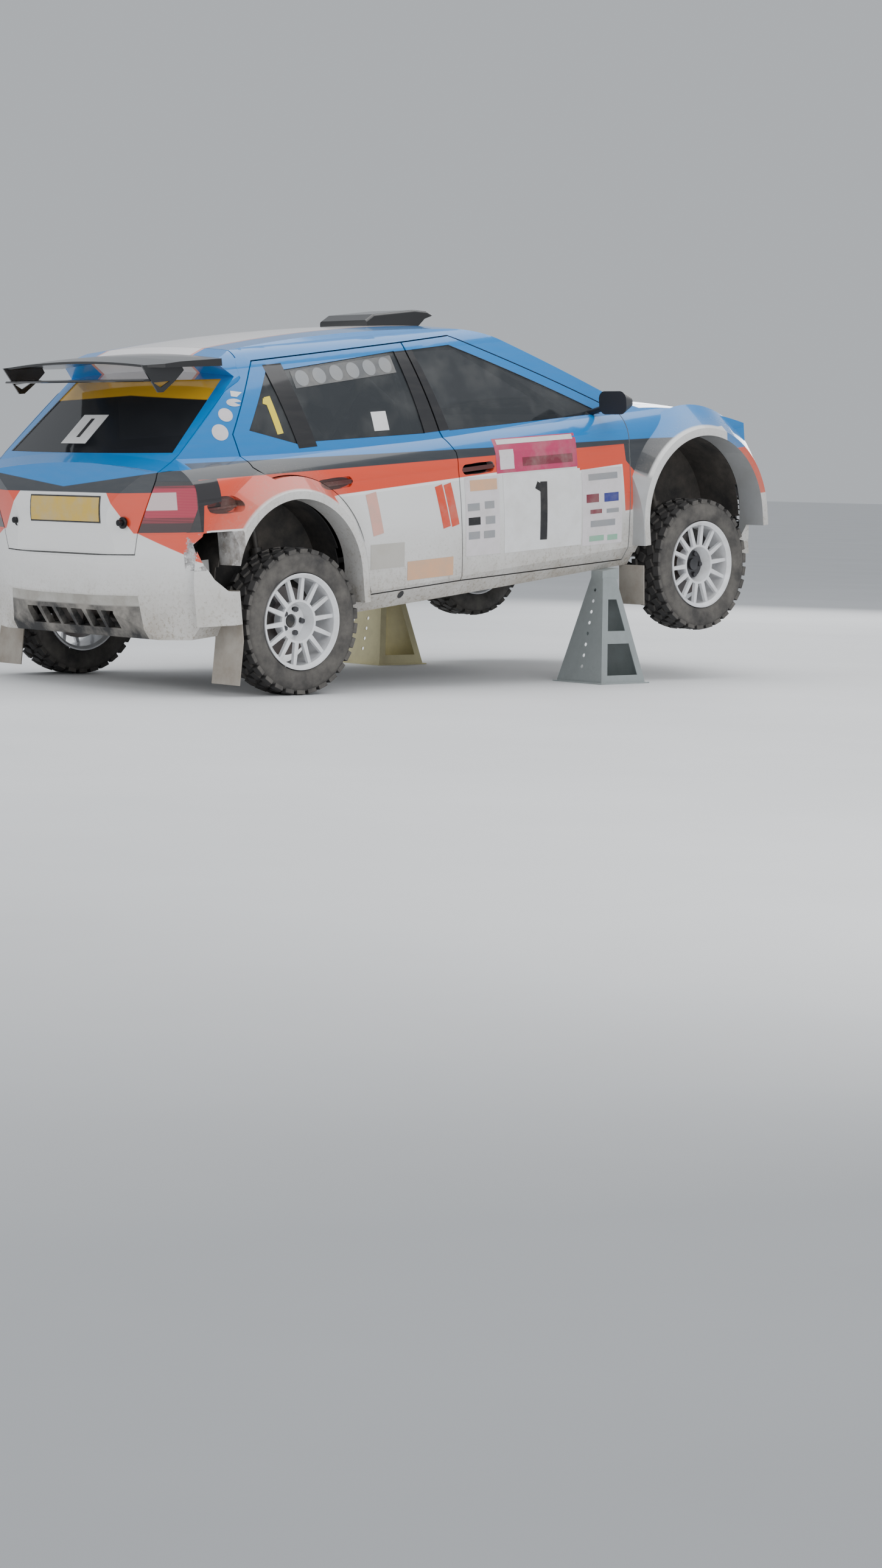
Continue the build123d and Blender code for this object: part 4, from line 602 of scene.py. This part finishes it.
def ring_of_blocks(name, blocks, pitches):
    """Rubber blocks modelled for one pitch, then copied round the axle."""
    bpy.ops.object.select_all(action="DESELECT")
    bpy.ops.mesh.primitive_cube_add(size=0.001, location=(0, 0, 0))
    piece = bpy.context.object
    piece.name = name
    bpy.ops.object.mode_set(mode="EDIT")
    bpy.ops.mesh.delete(type="VERT")
    for length, width, across, share, turn, drop in blocks:
        bpy.ops.mesh.select_all(action="DESELECT")
        bpy.ops.mesh.primitive_cube_add(size=1, location=(0, across, (block_foot + block_top) / 2),
                                        rotation=(radians(-drop), 0, radians(turn)),
                                        scale=(length, width, block_top - block_foot))
        bpy.ops.mesh.bevel(offset=block_bevel, segments=1, affect="EDGES")
        bpy.ops.transform.rotate(value=2 * pi * share / pitches, orient_axis="Y",
                                 center_override=(0, 0, 0))
    bpy.ops.mesh.select_all(action="SELECT")
    for _ in range(pitches - 1):
        bpy.ops.mesh.duplicate()
        bpy.ops.transform.rotate(value=2 * pi / pitches, orient_axis="Y", center_override=(0, 0, 0))
    bpy.ops.object.mode_set(mode="OBJECT")
    return piece


def join(*pieces):
    """Makes one piece of several."""
    bpy.ops.object.select_all(action="DESELECT")
    for each in pieces:
        each.select_set(True)
    bpy.context.view_layer.objects.active = pieces[0]
    bpy.ops.object.join()
    return pieces[0]


def settle(piece, place=(0, 0, 0)):
    """Leaves a piece's object at the origin, with its place in its mesh."""
    piece.location = Vector(piece.location) + Vector(place)
    bpy.ops.object.select_all(action="DESELECT")
    piece.select_set(True)
    bpy.context.view_layer.objects.active = piece
    bpy.ops.object.transform_apply(location=True, rotation=True, scale=True)
    return piece


def copy_of(piece, name):
    """A copy with its own mesh."""
    twin = piece.copy()
    twin.data = piece.data.copy()
    twin.name = name
    bpy.context.scene.collection.objects.link(twin)
    return twin


far_side = [(-across, radius) for across, radius in tyre_half_outline]
tyre_outline = far_side + tyre_half_outline[::-1] + [tyre_bore, far_side[0]]
tyre_pattern = join(lathe("tyre_pattern", tyre_outline, tyre_steps),
                    ring_of_blocks("tread", pitch_blocks, tread_pitches))
bpy.ops.object.shade_smooth_by_angle(angle=radians(32))
for corner in corners:
    tyre = settle(copy_of(tyre_pattern, f"gravel_tyre_{corner}"), hubs[corner])
    rubber.coat(tyre)
    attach(tyre, f"wheel_{corner}")
    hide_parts(f"tyre_{corner}")
bpy.data.objects.remove(tyre_pattern)

# Wheel fastenings. Five hexagon nuts on the studs of every wheel, and over the hub of the two front ones
# a stepped grey disc that is painted shade for the recessed bowl, all turned from bar with small chamfers.
nut_steel_and_bowl_shade = Finish("nut_steel_and_bowl_shade", (0.09, 0.09, 0.095), 0.4, 0.8)
stud_count, stud_circle = 5, 0.054
nut_radius, nut_length, nut_seat = 0.0125, 0.02, 0.018
# Steps over the front hub, a wide dark disc of painted shade for the bowl and then the hub: corners round,
# radius, depth, distance out from the hub
bowl_shade_and_hub_steps = [(48, 0.069, 0.006, 0.0135), (32, 0.029, 0.022, 0.022)]
along_axle, along_car = (pi / 2, 0, 0), (0, pi / 2, 0)


def turned(corners_round, radius, depth, place, way):
    """A slice of round or hexagon bar with its middle at a place."""
    bpy.ops.object.select_all(action="DESELECT")
    bpy.ops.mesh.primitive_cylinder_add(vertices=corners_round, radius=radius, depth=depth, rotation=way,
                                        location=place)
    return bpy.context.object


def machined(name, slices):
    """Slices made one piece, with a small chamfer on its edges."""
    piece = settle(join(*slices))
    piece.name = name
    chamfer = piece.modifiers.new("chamfer", "BEVEL")
    chamfer.width = 0.0015
    chamfer.segments = 2
    bpy.ops.object.modifier_apply(modifier="chamfer")
    bpy.ops.object.shade_smooth_by_angle(angle=radians(30))
    return piece


for corner in corners:
    hub = hubs[corner]
    out = 1 if corner.endswith("left") else -1
    slices = []
    for stud in range(stud_count):
        turn = 2 * pi * stud / stud_count
        seat = hub + Vector((stud_circle * cos(turn), out * nut_seat, stud_circle * sin(turn)))
        slices.append(turned(6, nut_radius, nut_length, seat, along_axle))
    # The front wheels get a dark disc of painted shade over their recessed bowls, with the hub on it.
    if corner.startswith("front"):
        for corners_round, radius, depth, reach in bowl_shade_and_hub_steps:
            slices.append(turned(corners_round, radius, depth, hub + Vector((0, out * reach, 0)),
                                 along_axle))
    fastening = machined(f"wheel_nuts_{corner}", slices)
    nut_steel_and_bowl_shade.coat(fastening)
    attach(fastening, f"wheel_{corner}")

# Door and tail graphics. Blank number boards, panels, patches and stripes of printed vinyl film,
# cut flat and pressed onto the painted panels and the glass.
film_thickness, film_square = 0.0007, 0.03
# Film is held off the sides and the tail here, and has missed the car where it is still past there
side_start, side_reach = 1.1, 1.05
tail_plane, tail_start, tail_miss = -0.45, 0.5, 0.45
tail_reach = (level_to_stance @ Vector((tail_plane, 0, 1))).x - tail_miss
worn_vinyl = (0.42, 0.39, 0.34)


def film(name, colour, rough=0.4, wear=0.35):
    """Printed vinyl, scuffed and dusty in patches."""
    made = Finish(name, colour, rough)
    worn = made.math("MULTIPLY", made.blotches(11, 5, 0.65, 0.42, 0.75), wear)
    made.show(made.mix(worn, colour, worn_vinyl))
    return made


def cut_film(name, way, centre, size, lean, disc):
    """Film cut to a rectangle or an oval, held flat off the right, the left or the tail."""
    turns = {"right": (pi / 2, radians(lean) - nose_up, 0), "left": (pi / 2, nose_up - radians(lean), pi),
             "tail": (pi / 2, radians(lean), -pi / 2)}
    if way == "tail":
        place = level_to_stance @ Vector((tail_plane, *centre)) - Vector((tail_start, 0, 0))
    else:
        off_side = side_start if way == "left" else -side_start
        place = level_to_stance @ Vector((centre[0], off_side, centre[1]))
    bpy.ops.object.select_all(action="DESELECT")
    if disc:
        bpy.ops.mesh.primitive_circle_add(vertices=28, radius=0.5, fill_type="TRIFAN", location=place,
                                          rotation=turns[way])
    else:
        columns, rows = (max(1, round(length / film_square)) for length in size)
        bpy.ops.mesh.primitive_grid_add(x_subdivisions=columns, y_subdivisions=rows, size=1,
                                        location=place, rotation=turns[way])
    piece = bpy.context.object
    piece.name = name
    piece.scale = (*size, 1)
    return settle(piece)


def trim_overhang(piece):
    """Cuts away what missed the panel and so stayed where the film was held."""
    bpy.ops.object.mode_set(mode="EDIT")
    bpy.ops.mesh.select_all(action="DESELECT")
    bpy.ops.object.mode_set(mode="OBJECT")
    for point in piece.data.vertices:
        point.select = abs(point.co.y) > side_reach or point.co.x < tail_reach
    bpy.ops.object.mode_set(mode="EDIT")
    bpy.ops.mesh.delete(type="VERT")
    bpy.ops.object.mode_set(mode="OBJECT")


def pressed(name, finish, node, way, centre, size, lean=0.0, disc=False, lift=0.0015):
    """Film pressed onto a panel, also over the seam between a door's panel and its window frame.
    Its centre is on the level car: along and up for the sides, across and up for the tail."""
    piece = cut_film(name, way, centre, size, lean, disc)
    press = piece.modifiers.new("press", "SHRINKWRAP")
    press.target = frame["nodes"][node]
    if node.startswith("door_"):
        press.auxiliary_target = frame["nodes"].get(node.replace("door_", "door_frame_"))
    press.wrap_method = "PROJECT"
    press.wrap_mode = "ABOVE_SURFACE"
    press.use_project_x = way == "tail"
    press.use_project_y = way != "tail"
    press.use_negative_direction = way == "left"
    press.use_positive_direction = way != "left"
    press.offset = lift
    bpy.ops.object.modifier_apply(modifier="press")
    trim_overhang(piece)
    wall = piece.modifiers.new("wall", "SOLIDIFY")
    wall.thickness = film_thickness
    wall.offset = -1
    bpy.ops.object.modifier_apply(modifier="wall")
    finish.coat(piece)
    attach(piece, frame["nodes"][node]["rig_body"])


board_white = film("board_white", (0.8, 0.8, 0.8), 0.35, 0.25)
print_black = film("print_black", (0.015, 0.015, 0.017), 0.4, 0.1)
rose_film = film("rose_film", (0.5, 0.05, 0.13))
pale_film = film("pale_film", (0.72, 0.68, 0.7))
orange_film = film("orange_film", (0.7, 0.075, 0.035), 0.35, 0.4)
faded_film = film("faded_film", (0.72, 0.4, 0.33), 0.5, 0.5)
peach_film = film("peach_film", (0.72, 0.42, 0.25), 0.5, 0.4)
tape_grey = film("tape_grey", (0.5, 0.48, 0.44), 0.6, 0.6)
patch_grey = film("patch_grey", (0.3, 0.31, 0.33))
patch_wine = film("patch_wine", (0.2, 0.03, 0.05))
patch_navy = film("patch_navy", (0.04, 0.05, 0.25))
patch_green = film("patch_green", (0.25, 0.5, 0.36))
plate_yellow = film("plate_yellow", (0.62, 0.42, 0.08), 0.35, 0.5)
number_yellow = film("number_yellow", (0.85, 0.68, 0.05), 0.4, 0.1)
clear_film = film("clear_film", (0.12, 0.125, 0.13), 0.3, 0.3)
ring_film = film("ring_film", (0.28, 0.29, 0.3), 0.25, 0.2)

# Heights of a first layer and of a print on it
on_paint, on_film = 0.0014, 0.0024
# Name, finish, middle along and up, length and height, lean in degrees, height over the paint
front_door_films = [
    ("number_board", board_white, (1.545, 0.636), (0.508, 0.362), 2.3, on_paint),
    ("number_stem", print_black, (1.549, 0.634), (0.046, 0.272), 4.0, on_film),
    ("number_flag", print_black, (1.528, 0.748), (0.045, 0.036), 30.0, on_film),
    ("event_panel", rose_film, (1.532, 0.905), (0.53, 0.158), 2.2, on_paint),
    ("event_strip", pale_film, (1.535, 0.968), (0.49, 0.022), 2.2, on_film),
    ("event_block", pale_film, (1.335, 0.895), (0.09, 0.09), 2.2, on_film),
    ("event_bar", patch_wine, (1.6, 0.868), (0.33, 0.04), 2.2, on_film),
    ("left_panel", pale_film, (1.155, 0.654), (0.214, 0.36), 3.0, on_paint),
    ("right_panel", pale_film, (1.946, 0.61), (0.275, 0.362), 2.6, on_paint),
    ("left_patch_top", peach_film, (1.172, 0.795), (0.17, 0.05), 2.5, on_film),
    ("right_patch_top", patch_grey, (1.96, 0.752), (0.2, 0.03), 2.0, on_film)]
rear_door_films = [
    ("stripe_rear", orange_film, (0.912, 0.724), (0.046, 0.197), -10.0, on_paint),
    ("stripe_front", orange_film, (0.966, 0.726), (0.046, 0.197), -10.0, on_paint),
    ("stripe_faded", faded_film, (0.505, 0.735), (0.062, 0.19), -8.0, on_paint),
    ("low_patch", peach_film, (0.82, 0.452), (0.28, 0.085), 2.0, on_paint),
    ("tape_patch", tape_grey, (0.565, 0.54), (0.2, 0.11), 3.0, on_paint)]
# Small patches on the front door's panels: finish, middle along and up, length and height
patch_lean = 2.4
door_patches = [
    (patch_grey, (1.1, 0.7), (0.075, 0.034)), (patch_grey, (1.2, 0.7), (0.06, 0.034)),
    (print_black, (1.1, 0.635), (0.075, 0.036)), (patch_grey, (1.2, 0.63), (0.06, 0.036)),
    (patch_grey, (1.095, 0.57), (0.07, 0.034)), (patch_grey, (1.19, 0.565), (0.07, 0.034)),
    (patch_wine, (1.88, 0.655), (0.085, 0.04)), (patch_navy, (2.01, 0.648), (0.1, 0.042)),
    (patch_wine, (1.9, 0.59), (0.08, 0.02)), (patch_grey, (2.015, 0.583), (0.085, 0.02)),
    (patch_grey, (1.945, 0.53), (0.17, 0.03)), (patch_green, (1.9, 0.462), (0.1, 0.026)),
    (patch_green, (2.01, 0.455), (0.07, 0.026))]
# Six vent holes in the rear pane: middle of the first, step to the next, size
hole_count, hole_start, hole_step = 6, Vector((0.305, 1.357)), Vector((0.096, 0.0037))
hole_size, hole_lift = (0.07, 0.07), 0.0025
# Round patches down the rear pillar: name, middle along and up, length and height
pillar_rounds = [("oval", (-0.085, 1.284), (0.075, 0.034)), ("round_high", (-0.145, 1.236), (0.07, 0.058)),
                 ("round_low", (-0.195, 1.165), (0.08, 0.07))]
for side in ("right", "left"):
    front_door, rear_door, pane = f"door_front_{side}", f"door_rear_{side}", f"window_rear_{side}"
    for name, finish, centre, size, lean, lift in front_door_films:
        pressed(f"{name}_{side}", finish, front_door, side, centre, size, lean, lift=lift)
    for count, (finish, centre, size) in enumerate(door_patches, 1):
        pressed(f"door_patch_{count}_{side}", finish, front_door, side, centre, size, patch_lean,
                lift=on_film)
    for name, finish, centre, size, lean, lift in rear_door_films:
        pressed(f"{name}_{side}", finish, rear_door, side, centre, size, lean, lift=lift)
    pressed(f"vent_strip_{side}", clear_film, pane, side, (0.545, 1.366), (0.58, 0.078), -2.2)
    for hole in range(hole_count):
        pressed(f"vent_hole_{hole + 1}_{side}", ring_film, pane, side, hole_start + hole * hole_step,
                hole_size, disc=True, lift=hole_lift)
    pressed(f"pane_patch_{side}", board_white, pane, side, (0.66, 1.135), (0.085, 0.085), 2.0)
    pressed(f"pane_number_{side}", number_yellow, pane, side, (0.1, 1.212), (0.032, 0.165), -6.0)
    pressed(f"pane_flag_{side}", number_yellow, pane, side, (0.079, 1.272), (0.03, 0.024), 22.0,
            lift=0.0017)
    pressed(f"pillar_patch_{side}", board_white, "body_shell", side, (-0.06, 1.318), (0.056, 0.024), 12.0)
    for name, centre, size in pillar_rounds:
        pressed(f"pillar_{name}_{side}", pale_film, "body_shell", side, centre, size, 5.0, disc=True)
for side in ("right", "left"):
    pressed(f"jack_hole_{side}", print_black, "body_shell", side, (0.66, 0.352), (0.034, 0.034), disc=True)

# Rear plate with a black edge, and a board with one digit on the tailgate glass
plate_middle = (-0.028, 0.849)
pressed("number_plate", plate_yellow, "hatch", "tail", plate_middle, (0.505, 0.104), lift=0.004)
pressed("plate_edge", print_black, "hatch", "tail", plate_middle, (0.52, 0.118), lift=0.0028)
pressed("glass_board", board_white, "hatch_glass", "tail", (0.135, 1.205), (0.19, 0.13))
pressed("glass_stem", print_black, "hatch_glass", "tail", (0.135, 1.21), (0.026, 0.085), lift=0.0025)

# Tailgate pins. Black alloy pins with a stepped collar either side of the plate, turned from
# bar and anodised, which hold the tailgate shut.
pin_black = Finish("anodised_black", (0.015, 0.015, 0.017), 0.35, 0.5)
pin_foot = -0.583
pin_places = {"tailgate_pin_left": (0.35, 0.806), "tailgate_pin_right": (-0.431, 0.811)}
# Collar and pin: radius, depth, distance behind the foot
pin_slices = [(0.026, 0.012, 0.0), (0.014, 0.03, 0.012)]
for name, spot in pin_places.items():
    foot = level_to_stance @ Vector((pin_foot, *spot))
    pin = machined(name, [turned(24, radius, depth, foot - Vector((step, 0, 0)), along_car)
                          for radius, depth, step in pin_slices])
    pin_black.coat(pin)
    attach(pin, "hatch")

bpy.context.view_layer.update()
